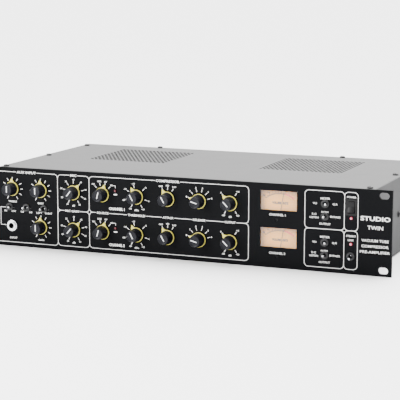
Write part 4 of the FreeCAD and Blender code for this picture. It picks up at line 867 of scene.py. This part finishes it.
def board_paint():
    """Green circuit board with copper tracks under its lacquer."""
    made = bpy.data.materials.new("circuit board")
    made.use_nodes = True
    tree = made.node_tree
    shader = tree.nodes["Principled BSDF"]
    place = tree.nodes.new("ShaderNodeTexCoord").outputs["Object"]
    tracks = tree.nodes.new("ShaderNodeTexBrick")
    tree.links.new(place, tracks.inputs["Vector"])
    tracks.inputs["Scale"].default_value = 95.0
    tracks.inputs["Mortar Size"].default_value = 0.035
    tracks.inputs["Color1"].default_value = (0.006, 0.075, 0.020, 1)
    tracks.inputs["Color2"].default_value = (0.008, 0.060, 0.018, 1)
    tracks.inputs["Mortar"].default_value = (0.020, 0.150, 0.045, 1)
    used = place_group(tree, "signs_of_use", {"Dust": 0.15, "Roughness": 0.35, "Tone": 0.3})
    tree.links.new(tracks.outputs["Color"], used.inputs["Colour"])
    tree.links.new(used.outputs["Colour"], shader.inputs["Base Color"])
    tree.links.new(used.outputs["Roughness"], shader.inputs["Roughness"])
    bump = tree.nodes.new("ShaderNodeBump")
    bump.inputs["Strength"].default_value = 0.3
    bump.inputs["Distance"].default_value = 0.05 * MM
    tree.links.new(tracks.outputs["Fac"], bump.inputs["Height"])
    tree.links.new(bump.outputs["Normal"], shader.inputs["Normal"])
    return made


# ---- pieces ---------------------------------------------------------------------------

class RACK_OT_front_panel(bpy.types.Operator):
    """Build the front panel with rounded edges"""
    bl_idname = "rack.front_panel"
    bl_label = "Front panel"

    def execute(self, context):
        look = context.scene.rack_case
        paint = finish("satin black", look.panel_colour, 0.42, grain=4200, relief=0.35, tone=0.5,
                       dust=0.02, uneven=0.1, specular=0.03, bare=(0.30, 0.30, 0.31))
        finish_piece("front_panel_plate", softened("front_panel", look.panel_edge), CHASSIS,
                     "panel_black", [paint], ["front_panel"])
        return {"FINISHED"}


class RACK_OT_case(bpy.types.Operator):
    """Build the tray and rear panel, and paint the cover"""
    bl_idname = "rack.case"
    bl_label = "Case"

    def execute(self, context):
        look = context.scene.rack_case
        for node in ("chassis_tray", "rear_panel"):
            finish_piece(node + "_sheet", softened(node, look.sheet_edge), CHASSIS, "case_grey",
                         [tray_paint()], [node])
        cover = finish("cover paint", look.cover_colour, 0.5, grain=1300, relief=0.3, tone=0.12,
                       dust=0.05, specular=0.3)
        # Painted shade: the walls of the cover's vent holes are coloured near black, for the
        # shade that falls inside the holes.
        hole_shade = finish("vent hole shade", (0.006, 0.006, 0.006), 0.7, grain=1500, relief=0.2,
                      specular=0.05, dust=0.0)
        bm = welded("top_cover")
        low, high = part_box("top_cover")
        edge, front, back = high.x - 2.0 * MM, low.y + 0.03, high.y - 0.02
        for face in bm.faces:
            centre = face.calc_center_median()
            # The vent holes' walls, which take the painted shade colour.
            shaded_wall = abs(face.normal.z) < 0.5 and abs(centre.x) < edge
            face.material_index = int(shaded_wall and front < centre.y < back)
        sheet = bpy.data.meshes.new("cover")
        bm.to_mesh(sheet)
        bm.free()
        finish_piece("top_cover_sheet", sheet, CHASSIS, "cover_grey", [cover, hole_shade],
                     ["top_cover"])
        return {"FINISHED"}


class RACK_OT_printing(bpy.types.Operator):
    """Print the frames, scales and words on the front panel"""
    bl_idname = "rack.printing"
    bl_label = "Printing"

    def execute(self, context):
        look = context.scene.rack_print
        thickness = look.thickness / MM
        meshes = [self.frames(look, thickness), self.brackets(look, thickness)]
        meshes.append(self.marks(look, thickness))
        meshes.append(lettering(WORDS, PANEL_FACE, thickness, 0.02))
        meshes.append(lettering(TITLES, PANEL_FACE, thickness, 0.05))
        meshes.append(lettering(BOLD_WORDS, PANEL_FACE, thickness, 0.16))
        meshes.append(lettering(NAME_WORDS, PANEL_FACE, thickness, 0.02))
        meshes.append(lettering(self.scale_words(look), PANEL_FACE, thickness, 0.04))
        finish_piece("panel_printing", joined("printing", meshes), CHASSIS, "print_white",
                     [white_ink()])
        dim = finish("grey ink", (0.10, 0.10, 0.10), 0.6, grain=5200, relief=0.3, dust=0.0)
        finish_piece("panel_small_signs", lettering(DIM_WORDS, PANEL_FACE, thickness), CHASSIS,
                     "print_white", [dim])
        rear = [(text, side * across, up, height, width)
                for text, across, up, height, width in REAR_WORDS for side in (-1, 1)]
        rear += [("CHANNEL 1", 124.0, 32.0, 3.0, 24.0), ("CHANNEL 2", -124.0, 32.0, 3.0, 24.0),
                 ("MAINS INPUT", 10.0, 20.5, 2.8, 26.0)]
        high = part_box("rear_panel")[1].y / MM
        finish_piece("rear_printing", lettering(rear, high, thickness, 0.05, facing=-1), CHASSIS,
                     "print_white", [white_ink()])
        return {"FINISHED"}

    def frames(self, look, thickness):
        """Rounded frames that share their dividing lines, open where a title stands."""
        half = look.frame_width / MM / 2
        corner = look.frame_corner / MM
        web = None
        for index, (left, right, low, high) in enumerate(BOXES):
            low, left = low + SEAM, left + SEAM
            step = SEAM_DEPTH * index
            outside = round_box(left - half, right + half, low - half, high + half,
                                corner + half)
            inside = round_box(left + half, right - half, low + half, high - half, corner - half)
            ring = flat_shape("frame", [outside, inside], PANEL_FACE - thickness + step,
                              PANEL_FACE + PRINT_SINK + step)
            web = combined(web, ring, "UNION") if web else ring
        gaps = []
        for text, across, up, height, width in TITLES:
            reach = width / 2 + 1.0
            gaps.append(flat_shape("gap", [[(across - reach, up - 2), (across + reach, up - 2),
                                            (across + reach, up + 2), (across - reach, up + 2)]],
                                   PANEL_FACE - 1, PANEL_FACE + 1))
        return combined(web, joined("gaps", gaps), "DIFFERENCE")

    def brackets(self, look, thickness):
        """Thin lines that lead from the switches to the jack and from a word to its lamp."""
        half = 0.22
        meshes = []
        lines = [[(-198.1, -0.7), (-205.4, -0.7), (-205.4, -20.6), (-198.8, -20.6)]]
        for up in (25.5, -15.3):
            lines.append([(-68.5, up + 5.4), (-64.2, up + 5.4), (-64.2, up + 3.0)])
            meshes.append(flat_shape("pill", [round_box(-66.3, -62.1, up - 4.7, up - 3.4, 0.6)],
                                     PANEL_FACE - thickness, PANEL_FACE + PRINT_SINK))
        for points in lines:
            side_a, side_b = [], []
            for index, point in enumerate(points):
                before = Vector(points[max(index - 1, 0)])
                after = Vector(points[min(index + 1, len(points) - 1)])
                here = Vector(point)
                ways = [v.normalized() for v in (here - before, after - here) if v.length > 0]
                normal = sum((Vector((-way.y, way.x)) for way in ways), Vector((0, 0)))
                normal /= max(normal.normalized().dot(Vector((-ways[0].y, ways[0].x))), 0.2) \
                    * normal.length
                side_a.append(tuple(here + normal * half))
                side_b.append(tuple(here - normal * half))
            meshes.append(flat_shape("line", [side_a + side_b[::-1]], PANEL_FACE - thickness,
                                     PANEL_FACE + PRINT_SINK))
        return joined("brackets", meshes)

    def marks(self, look, thickness):
        points = []
        for name in KNOB_REST:
            kind = name.split("_")[0]
            place = Vector(JOINTS["knob_" + name]["pos_m"])
            place.y = (PANEL_FACE - (thickness - PRINT_SINK) / 2) * MM
            for angle, text in SCALES[kind]:
                points.append((place, (0, math.radians(angle), 0)))
        return grown("marks", marks_tree(), points, {
            "Start": look.mark_start, "Length": look.mark_length, "Width": look.mark_width,
            "Thickness": look.thickness + PRINT_SINK * MM, "Material": white_ink()})

    def scale_words(self, look):
        """The numbers round each knob, and the unit or name below it."""
        words = []
        height = look.number_height / MM
        reach = (look.mark_start + look.mark_length) / MM
        for name in KNOB_REST:
            kind = name.split("_")[0]
            place = Vector(JOINTS["knob_" + name]["pos_m"]) / MM
            for angle, text in SCALES[kind]:
                if kind == "aux":
                    continue
                width = 1.15 * len(text)
                turn = math.radians(angle)
                out = reach + 1.3 + 0.42 * width * abs(math.sin(turn))
                words.append((text, place.x + out * math.sin(turn),
                              place.z + out * math.cos(turn), height, width))
            unit = UNITS.get(name) or UNITS.get(kind)
            if unit:
                words.append((unit, place.x, place.z - 14.3, 1.9, 1.7 * len(unit)))
        return words


class RACK_OT_fasteners(bpy.types.Operator):
    """Put cross-head screws in the case and the rear connectors"""
    bl_idname = "rack.fasteners"
    bl_label = "Screws and nuts"

    def execute(self, context):
        look = context.scene.rack_fasteners
        screw = add_mesh("screw", self.screw(look))
        tree = fasteners_tree()
        black = finish("black screw steel", (0.008, 0.008, 0.009), 0.36, 0.3, grain=1500,
                       relief=0.2, wear=0.3, bare=(0.3, 0.3, 0.3), specular=0.3)
        for node in ("case_screws", "connector_screws"):
            points = [self.seat(low, high, look) for low, high in solid_boxes(node)]
            mesh = grown(node, tree, points, {"Fastener": screw, "Material": black})
            if "turn" in mesh.attributes:
                mesh.attributes.remove(mesh.attributes["turn"])
            finish_piece(node + "_cross_head", shade(mesh), CHASSIS, "black_steel", [black],
                         [node])
        bpy.data.objects.remove(screw)
        finish_piece("dress_nut_set", softened("dress_nuts", 0.16 * MM), CHASSIS, "chrome_nut",
                     [chrome()], ["dress_nuts"])
        finish_piece("panel_stud_set", softened("panel_fixings", 0.15 * MM), CHASSIS,
                     "zinc_steel", [zinc()], ["panel_fixings"])
        return {"FINISHED"}

    def screw(self, look):
        """A pan-head screw that stands on the origin with its head up."""
        radius, height = look.head_radius / MM, look.head_height / MM
        shank = 1.45
        profile = [(0, 6.0, 0), (shank * 0.6, 6.0, 0), (shank, 5.3, 0), (shank, 0, 0),
                   (radius * 0.94, 0, 0), (radius, -0.18, 0), (radius, -height * 0.36, 0),
                   (radius * 0.93, -height * 0.66, 0), (radius * 0.72, -height * 0.88, 0),
                   (radius * 0.40, -height * 0.98, 0), (0, -height, 0)]
        head = turned("screw", profile, 28)
        half, reach = look.recess_width / MM / 2, radius * 0.56
        floor = -height + look.recess_depth / MM
        for across, up in ((half, reach), (reach, half)):
            slot = flat_shape("slot", [[(-across, -up), (across, -up), (across, up),
                                        (-across, up)]], -height - 1, floor)
            head = combined(head, slot, "DIFFERENCE")
        return head

    def seat(self, low, high, look):
        """Where a screw's head sits, and the turn that points its shank inwards."""
        size = high - low
        middle = (low + high) / 2
        axis = max(range(3), key=lambda index: size[index])
        centre = Vector((0, 0.12, 0))
        outward = 1 if (middle - centre)[axis] > 0 else -1
        place = middle.copy()
        place[axis] = (high[axis] if outward > 0 else low[axis]) - outward * look.head_height
        way = Vector((0, 0, 0))
        way[axis] = outward
        spin = Vector((0, -1, 0)).rotation_difference(way).to_matrix()
        twist = Matrix.Rotation(math.radians(37.0 * (middle.x * 71 + middle.y * 53)), 3, "Y")
        return place, tuple((spin @ twist).to_euler())


class RACK_OT_knobs(bpy.types.Operator):
    """Build the fluted caps, pointer rings and lines of the knobs"""
    bl_idname = "rack.knobs"
    bl_label = "Knobs"

    def execute(self, context):
        look = context.scene.rack_knobs
        cap = self.cap(look)
        ring = self.ring()
        line = self.line(look)
        black = finish("knob black", look.cap_colour, 0.30, grain=2600, relief=0.2, tone=0.3,
                       dust=0.02, wear=0.10, bare=(0.03, 0.03, 0.034), specular=0.14)
        steel = finish("spindle steel", (0.42, 0.42, 0.42), 0.30, 1.0, grain=900, relief=0.2,
                       stretch=(1, 0.05, 1))
        yellow = finish("pointer yellow", look.pointer_colour, 0.42, grain=3000, relief=0.2,
                        tone=0.2, dust=0.03)
        white = finish("line white", look.line_colour, 0.5, grain=4000, relief=0.2, dust=0.02)
        for name, angle in KNOB_REST.items():
            body = "knob_" + name
            seat = Matrix.Translation(Vector(JOINTS[body]["pos_m"]) * Vector((1, 0, 1)))
            seat = seat @ Matrix.Rotation(math.radians(angle), 4, "Y")
            for part, mesh, slot, paints, stands in (
                    ("cap", cap, "knob_black", [black, steel], [body]),
                    ("pointer_ring", ring, "pointer_yellow", [yellow], []),
                    ("line", line, "print_white", [white], [])):
                own = mesh.copy()
                own.transform(seat)
                finish_piece(f"{body}_{part}", own, body, slot, paints, stands)
        return {"FINISHED"}

    def cap(self, look):
        profile = [(0, SPINDLE_END, 0), (2.7, SPINDLE_END, 0), (SPINDLE_RADIUS, 4.3, 0),
                   (SPINDLE_RADIUS, RECESS_FLOOR, 0), (6.3, RECESS_FLOOR, 0),
                   (RECESS_RADIUS, -8.9, 0), (RECESS_RADIUS, CAP_BACK, 0),
                   (7.15, CAP_BACK, 0), (7.38, -5.4, 0),
                   (7.36, -6.5, 0), (7.28, -6.9, 0.5), (7.18, -7.6, 1), (6.9, -9.8, 1),
                   (6.6, -12.2, 1), (6.32, -14.6, 1), (6.22, -15.5, 0.8), (6.12, -16.1, 0.3),
                   (5.9, -16.5, 0), (5.55, -16.7, 0), (5.2, -16.68, 0), (4.95, -16.45, 0),
                   (4.6, CAP_FACE, 0), (0, CAP_FACE, 0)]
        mesh = turned("cap", profile, 6 * look.flutes, look.flutes, look.flute_depth / MM)
        for face in mesh.polygons:
            centre = face.center / MM
            reach = math.hypot(centre.x, centre.z)
            spindle = reach < SPINDLE_RADIUS + 0.05 and centre.y > RECESS_FLOOR
            face.material_index = int(spindle)
        return shade(mesh, 42)

    def ring(self):
        """A disc with one pointer, whose sides run in to the tip."""
        half, steps = POINTER_HALF_ANGLE, 56
        blunt = POINTER_TIP - 0.35
        outline = [(-0.2, blunt), (0.0, POINTER_TIP), (0.2, blunt)]
        for step in range(steps + 1):
            angle = half + (math.tau - 2 * half) * step / steps
            outline.append((RING_RADIUS * math.sin(angle), RING_RADIUS * math.cos(angle)))
        eye = circle(0, 0, RECESS_RADIUS, steps)
        return shade(flat_shape("ring", [outline, eye], CAP_BACK, RING_BACK, 0.15))

    def line(self, look):
        half = look.line_width / MM / 2
        return shade(flat_shape("line", [round_box(-half, half, -2.7, 4.5, half * 0.6, 3)],
                                -16.42, -16.2, 0.02))


class RACK_OT_toggles(bpy.types.Operator):
    """Build the toggle switches and their levers"""
    bl_idname = "rack.toggles"
    bl_label = "Toggle switches"

    def execute(self, context):
        look = context.scene.rack_switches
        tip, root = look.lever_tip / MM, look.lever_root / MM
        bright = chrome()
        ball, reach = BALL_RADIUS, LEVER_REACH
        profile = [(0, LEVER_TAIL, 0), (root * 0.8, LEVER_TAIL, 0), (root, 3.4, 0),
                   (root, 1.72, 0)]
        for step in range(1, 10):
            angle = math.radians(155 - step * 14.5)
            profile.append((ball * math.sin(angle), -ball * math.cos(angle), 0))
        profile += [(root * 1.02, -1.75, 0), (root * 1.1, -3.2, 0), (tip * 0.86, -6.0, 0),
                    (tip, -7.4, 0), (tip, -reach + tip * 0.9, 0)]
        for step in range(1, 7):
            angle = math.radians(90 - step * 15)
            profile.append((tip * math.sin(angle), -(reach - tip) - tip * math.cos(angle), 0))
        profile[-1] = (0, -reach, 0)
        lever = shade(turned("lever", profile, 28), 50)
        for name, (way, lean) in LEVERS.items():
            axis = "Z" if way == "across" else "X"
            seat = Matrix.Translation(JOINTS[name]["pos_m"])
            seat = seat @ Matrix.Rotation(lean * TOGGLE_THROW, 4, axis)
            own = lever.copy()
            own.transform(seat)
            finish_piece(name + "_lever", own, name, "toggle_chrome", [bright], [name])
        power = Vector(JOINTS["power_rocker"]["pos_m"]) / MM
        bodies = finish("switch body blue", (0.010, 0.030, 0.080), 0.4, grain=2200, relief=0.2)
        blackened = finish("blackened nickel", (0.010, 0.010, 0.011), 0.36, 0.4, grain=1500,
                           relief=0.15)

        def choose(centre):
            if abs(centre.x - power.x) < 8 and abs(centre.z - power.z) < 10:
                return 2
            return 1 if centre.y > 0.01 else 0
        finish_piece("toggle_switch_set", softened("toggle_switches", 0.14 * MM, 2, choose),
                     CHASSIS, "component_black", [blackened, bodies, black_plastic()],
                     ["toggle_switches"])
        return {"FINISHED"}


class RACK_OT_power_rocker(bpy.types.Operator):
    """Build the power rocker with its dished face"""
    bl_idname = "rack.power_rocker"
    bl_label = "Power rocker"

    def execute(self, context):
        look = context.scene.rack_switches
        bm = bmesh.new()
        half_width, top = ROCKER_HALF_WIDTH, ROCKER_HALF_HEIGHT
        steps = 12
        outline = []
        for step in range(steps + 1):
            up = -top + 2 * top * step / steps
            share = abs(up) / top
            outline.append((ROCKER_FRONT + ROCKER_DISH * (1 - share) ** 1.3, up))
        outline += [(ROCKER_BACK, top), (ROCKER_BACK, -top)]
        sides = [[bm.verts.new((across * MM, y * MM, z * MM)) for y, z in outline]
                 for across in (-half_width, half_width)]
        count = len(outline)
        for index in range(count):
            after = (index + 1) % count
            bm.faces.new((sides[0][index], sides[0][after], sides[1][after], sides[1][index]))
        bm.faces.new(sides[0])
        bm.faces.new(sides[1])
        bmesh.ops.recalc_face_normals(bm, faces=bm.faces)
        edges = [edge for edge in bm.edges if edge.calc_face_angle(0) > math.radians(50)]
        bmesh.ops.bevel(bm, geom=edges, offset=0.4 * MM, segments=3, profile=0.5,
                        affect="EDGES")
        mesh = mesh_from(bm, "rocker")
        seat = Matrix.Translation(JOINTS["power_rocker"]["pos_m"])
        seat = seat @ Matrix.Rotation(ROCKER_TILT, 4, "X")
        mesh.transform(seat)
        black = finish("rocker black", look.rocker_colour, 0.34, grain=2600, relief=0.15,
                       specular=0.14)
        finish_piece("power_rocker_key", shade(mesh, 50), "power_rocker", "rocker_black",
                     [black], ["power_rocker"])
        return {"FINISHED"}


class RACK_OT_meters(bpy.types.Operator):
    """Build the meters' lit dials, glasses, housings and needles"""
    bl_idname = "rack.meters"
    bl_label = "Meters"

    def execute(self, context):
        look = context.scene.rack_meters
        card = card_paint(look)
        dark = dark_ink()
        red = finish("zone red", look.zone_colour, 0.6, grain=5200, relief=0.3, dust=0.0)
        needle = finish("needle black", (0.004, 0.004, 0.004), 0.5, grain=3000, relief=0.1)
        windows = sorted(solid_boxes("meter_windows"), key=lambda box: -box[0].z)
        cards = []
        for number, (low, high) in enumerate(windows, 1):
            middle = (low + high) / 2 / MM
            pivot = Vector(JOINTS[f"meter_needle_{number}"]["pos_m"]) / MM
            cards.append(self.card(middle, pivot, (high - low) / MM))
            self.print_dial(look, number, middle, pivot, dark, red)
            coat(f"meter_needle_{number}", needle)
        finish_piece("meter_card_set", joined("cards", cards), CHASSIS, "meter_dial", [card],
                     ["meter_dials"])
        glass = clear_glass("meter glass", (0.98, 0.98, 0.97), 0.02)
        finish_piece("meter_pane_set", softened("meter_windows", 0.2 * MM), CHASSIS,
                     "meter_glass", [glass], ["meter_windows"])
        finish_piece("meter_housing_set", softened("meter_housings", 0.4 * MM), CHASSIS,
                     "component_black", [black_plastic()], ["meter_housings"])
        coat("meter_movements", black_plastic())
        return {"FINISHED"}

    def card(self, middle, pivot, size):
        """One dial card, with its own map across the window."""
        low, high = (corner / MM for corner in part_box("meter_dials"))
        outline = round_box(low.x, high.x, middle.z - size.z / 2 - CARD_BELOW,
                            middle.z + size.z / 2 + CARD_ABOVE, 0.6, 3)
        mesh = flat_shape("card", [outline, circle(pivot.x, pivot.z, 1.0, 20)], low.y, high.y,
                          0.08)
        layer = mesh.uv_layers.new(name="card")
        for loop in mesh.loops:
            place = mesh.vertices[loop.vertex_index].co / MM
            layer.data[loop.index].uv = ((place.x - middle.x) / size.x + 0.5,
                                         (place.z - middle.z) / size.z + 0.5)
        return shade(mesh)

    def band(self, pivot, inner, outer, start, end, front, back, steps=24):
        """A band of an arc about the pivot, with angles in degrees from the top."""
        turns = [math.radians(start + (end - start) * step / steps) for step in range(steps + 1)]
        loop = [(pivot.x + outer * math.sin(turn), pivot.z + outer * math.cos(turn))
                for turn in turns]
        loop += [(pivot.x + inner * math.sin(turn), pivot.z + inner * math.cos(turn))
                 for turn in reversed(turns)]
        return flat_shape("band", [loop], front, back)

    def print_dial(self, look, number, middle, pivot, dark, red):
        radius = look.arc_radius / MM
        reach = math.degrees(look.arc_angle)
        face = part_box("meter_dials")[0].y / MM
        front, back = face - 0.03, face + PRINT_SINK
        black = [self.band(pivot, radius - 0.24, radius + 0.24, -reach, ZONE_START, front, back)]
        scale = [(-38, "20"), (-26, "10"), (-17, "7"), (-10.5, "5"), (-4, "3"), (3, "1"),
                 (12, "0")]
        minor = [-32, -29, -23, -20, -13.5, -7, 0, 7.5]
        for turn, tall in [(angle, 2.2) for angle, text in scale] + [(a, 1.3) for a in minor]:
            black.append(self.band(pivot, radius + 0.1, radius + tall, turn - 0.5, turn + 0.5,
                                   front - 0.005, back, 1))
        words = []
        for angle, text in scale:
            turn = math.radians(angle)
            out = radius + 3.4
            words.append((text, pivot.x + out * math.sin(turn), pivot.z + out * math.cos(turn),
                          1.8, 1.25 * len(text)))
        black.append(lettering(words, face, 0.03, 0.1))
        black.append(lettering([("VOLUME UNITS", middle.x + 0.4, middle.z - 2.9, 2.3, 17.5)],
                               face, 0.03, 0.20))
        finish_piece(f"dial_print_{number}", joined("print", black), CHASSIS, "print_dark",
                     [dark])
        zone = [self.band(pivot, radius - 0.3, radius + 1.5, ZONE_START, reach, front, back)]
        marks = []
        for angle, text in ((20, "1"), (29, "2"), (37.5, "3")):
            turn = math.radians(angle)
            zone.append(self.band(pivot, radius, radius + 1.5, angle - 0.3, angle + 0.3,
                                  front - 0.005, back, 1))
            out = radius + 2.6
            marks.append((text, pivot.x + out * math.sin(turn), pivot.z + out * math.cos(turn),
                          1.35, 0.9))
        zone.append(lettering(marks, face, 0.03, 0.03))
        finish_piece(f"dial_zone_{number}", joined("zone", zone), CHASSIS, "print_red", [red])


class RACK_OT_lamps(bpy.types.Operator):
    """Build the lit lamps"""
    bl_idname = "rack.lamps"
    bl_label = "Lamps"

    def execute(self, context):
        look = context.scene.rack_lamps
        lenses = []
        radius = 1.5
        for low, high in solid_boxes("lamps"):
            middle = (low + high) / 2
            lit = 1.0 if middle.x > 0 else 0.0
            profile = [(0, 4.95, 0), (1.3, 5.0, 0), (radius, 4.8, 0), (radius, 1.0, 0),
                       (1.9, 1.0, 0), (1.9, 0.0, 0), (radius, 0.0, 0), (radius, -3.4, 0)]
            for step in range(1, 9):
                turn = math.radians(90 - step * 11.25)
                profile.append((radius * math.sin(turn), -3.4 - radius * math.cos(turn), 0))
            profile[-1] = (0, -4.9, 0)
            mesh = shade(turned("lens", profile, 24), 50)
            layer = mesh.uv_layers.new(name="lens")
            for loop in mesh.loops:
                place = mesh.vertices[loop.vertex_index].co / MM
                layer.data[loop.index].uv = (min(math.hypot(place.x, place.z) / radius, 1), lit)
            mesh.transform(Matrix.Translation((middle.x, 0, middle.z)))
            lenses.append(mesh)
        finish_piece("lamp_lens_set", joined("lenses", lenses), CHASSIS, "lamp_red",
                     [lamp_lens(look)], ["lamps"])
        return {"FINISHED"}


class RACK_OT_connectors(bpy.types.Operator):
    """Build the jacks, audio connectors and mains inlet"""
    bl_idname = "rack.connectors"
    bl_label = "Connectors"

    def execute(self, context):
        plastic = black_plastic()

        def jack_face(centre):
            return 1 if centre.y > 0.01 else 0
        finish_piece("front_jack_socket", softened("front_jack", 0.3 * MM, 2, jack_face),
                     CHASSIS, "component_black", [chrome(), plastic], ["front_jack"])
        finish_piece("line_jack_set", softened("line_jacks", 0.3 * MM), CHASSIS,
                     "component_black", [plastic], ["line_jacks"])
        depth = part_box("rear_panel")[1].y / MM

        def xlr_face(centre):
            nearest = min((158.0, 190.0), key=lambda x: abs(abs(centre.x) - x))
            reach = math.hypot(abs(centre.x) - nearest, centre.z)
            return 1 if reach < 7.4 or centre.y < depth - 0.01 else 0
        finish_piece("audio_connector_set", softened("xlr_connectors", 0.3 * MM, 2, xlr_face),
                     CHASSIS, "component_metal", [nickel(), plastic], ["xlr_connectors"])
        finish_piece("mains_inlet_body", softened("mains_inlet", 0.4 * MM), CHASSIS,
                     "component_black", [plastic], ["mains_inlet"])
        brass = finish("pin brass", (0.62, 0.42, 0.16), 0.26, 1.0, grain=900, relief=0.1)
        finish_piece("connector_pin_set", softened("connector_pins", 0.25 * MM), CHASSIS,
                     "pin_brass", [brass], ["connector_pins"])
        return {"FINISHED"}


class RACK_OT_insides(bpy.types.Operator):
    """Give the boards, valves, transformer and other inside parts their finishes"""
    bl_idname = "rack.insides"
    bl_label = "Inside parts"

    def execute(self, context):
        board = board_paint()
        for node in ("control_board", "channel_boards"):
            coat(node, board)
        metal = finish("pressed tin plate", (0.50, 0.50, 0.49), 0.36, 1.0, grain=800, relief=0.2)
        table = [
            ("potentiometers", metal), ("rotary_switches", metal),
            ("board_standoffs", finish("standoff brass", (0.58, 0.40, 0.15), 0.3, 1.0,
                                       grain=900, relief=0.1)),
            ("valve_sockets", finish("glazed ceramic", (0.62, 0.60, 0.54), 0.25, grain=500,
                                     relief=0.1, coat_weight=0.4)),
            ("valve_electrodes", finish("dark electrode", (0.06, 0.06, 0.065), 0.5, 0.7,
                                        grain=1200, relief=0.3)),
            ("smoothing_capacitors", finish("capacitor sleeve", (0.012, 0.022, 0.085), 0.28,
                                            grain=600, relief=0.1, coat_weight=0.3)),
            ("heat_sinks", finish("anodised aluminium", (0.40, 0.41, 0.42), 0.38, 1.0,
                                  grain=1200, relief=0.2, stretch=(1, 0.04, 1))),
            ("regulators", black_plastic()),
            ("transformer", finish("winding tape", (0.46, 0.31, 0.06), 0.34, grain=420,
                                   relief=0.5, tone=0.5, stretch=(1, 1, 0.1))),
            ("transformer_pads", finish("pad rubber", (0.012, 0.012, 0.012), 0.75, grain=1500,
                                        relief=0.6)),
            ("transformer_clamp", zinc()),
            ("ribbon_cables", finish("ribbon grey", (0.30, 0.31, 0.33), 0.5, grain=800,
                                     relief=0.7, tone=0.4, stretch=(1, 0.02, 0.02))),
        ]
        for node, material in table:
            coat(node, material)
        coat("valve_glasses", clear_glass("valve glass", (0.96, 0.97, 0.96), 0.01))
        return {"FINISHED"}


class RACK_OT_stage(bpy.types.Operator):
    """Set up the floor, the soft lights and the camera"""
    bl_idname = "rack.stage"
    bl_label = "Stage"

    def execute(self, context):
        look = context.scene.rack_stage
        bottom = cad_box[0].z
        bm = bmesh.new()
        reach = 40.0
        for across, back in ((-reach, -reach), (reach, -reach), (reach, reach), (-reach, reach)):
            bm.verts.new((across, back, bottom))
        bm.faces.new(bm.verts)
        floor = add_mesh("floor", mesh_from(bm, "floor"))
        floor.data.materials.append(finish("pale floor", look.floor_colour, 0.8, grain=300,
                                           relief=0.02, tone=0.02, dust=0.0, specular=0.1))
        self.light("top_light", "SUN", look.sun_strength, (0.35, 2.0, 4.0), (0.0, 0.1, 0.0), 1.2)
        self.light("front_light", "AREA", look.fill_power, (-1.1, -1.5, 0.9), (0, 0, 0), 1.0)
        world = bpy.data.worlds.new("room")
        world.use_nodes = True
        shade_node = world.node_tree.nodes["Background"]
        shade_node.inputs["Color"].default_value = (1.0, 1.0, 1.0, 1)
        shade_node.inputs["Strength"].default_value = look.sky_strength
        context.scene.world = world
        camera = bpy.data.cameras.new("view")
        camera.lens = look.lens
        camera.sensor_width = 36.0
        camera.clip_end = 100.0
        holder = bpy.data.objects.new("view", camera)
        context.scene.collection.objects.link(holder)
        holder.location = (0.60356, -1.39176, 0.26744)
        holder.rotation_euler = Euler((math.radians(90 - 9.294), math.radians(-0.07),
                                       math.radians(22.309)))
        context.scene.camera = holder
        return {"FINISHED"}

    def light(self, name, kind, power, place, target, size):
        lamp = bpy.data.lights.new(name, kind)
        lamp.energy = power
        if kind == "SUN":
            lamp.angle = size
        else:
            lamp.shape = "SQUARE"
            lamp.size = size
        holder = bpy.data.objects.new(name, lamp)
        bpy.context.scene.collection.objects.link(holder)
        holder.location = place
        way = Vector(target) - Vector(place)
        holder.rotation_euler = way.to_track_quat("-Z", "Y").to_euler()


OPERATORS = [
    RACK_OT_front_panel, RACK_OT_case, RACK_OT_printing, RACK_OT_fasteners, RACK_OT_knobs,
    RACK_OT_toggles, RACK_OT_power_rocker, RACK_OT_meters, RACK_OT_lamps, RACK_OT_connectors,
    RACK_OT_insides, RACK_OT_stage,
]


class RACK_PT_compressor(bpy.types.Panel):
    """Lists the pieces of the compressor and their sizes and colours"""
    bl_idname = "RACK_PT_compressor"
    bl_label = "Rack compressor"
    bl_space_type = "VIEW_3D"
    bl_region_type = "UI"
    bl_category = "Compressor"

    def draw(self, context):
        for operator in OPERATORS:
            self.layout.operator(operator.bl_idname)
        for name, look in LOOKS.items():
            box = self.layout.box()
            for prop in look.__annotations__:
                box.prop(getattr(context.scene, name), prop)


def register():
    for name, look in LOOKS.items():
        bpy.utils.register_class(look)
        setattr(bpy.types.Scene, name, PointerProperty(type=look))
    for made in OPERATORS + [RACK_PT_compressor]:
        bpy.utils.register_class(made)


def unregister():
    for made in reversed(OPERATORS + [RACK_PT_compressor]):
        bpy.utils.unregister_class(made)
    for name, look in reversed(LOOKS.items()):
        delattr(bpy.types.Scene, name)
        bpy.utils.unregister_class(look)


def main():
    register()
    for operator in OPERATORS:
        family, name = operator.bl_idname.split(".")
        getattr(getattr(bpy.ops, family), name)()


if __name__ == "__main__":
    main()
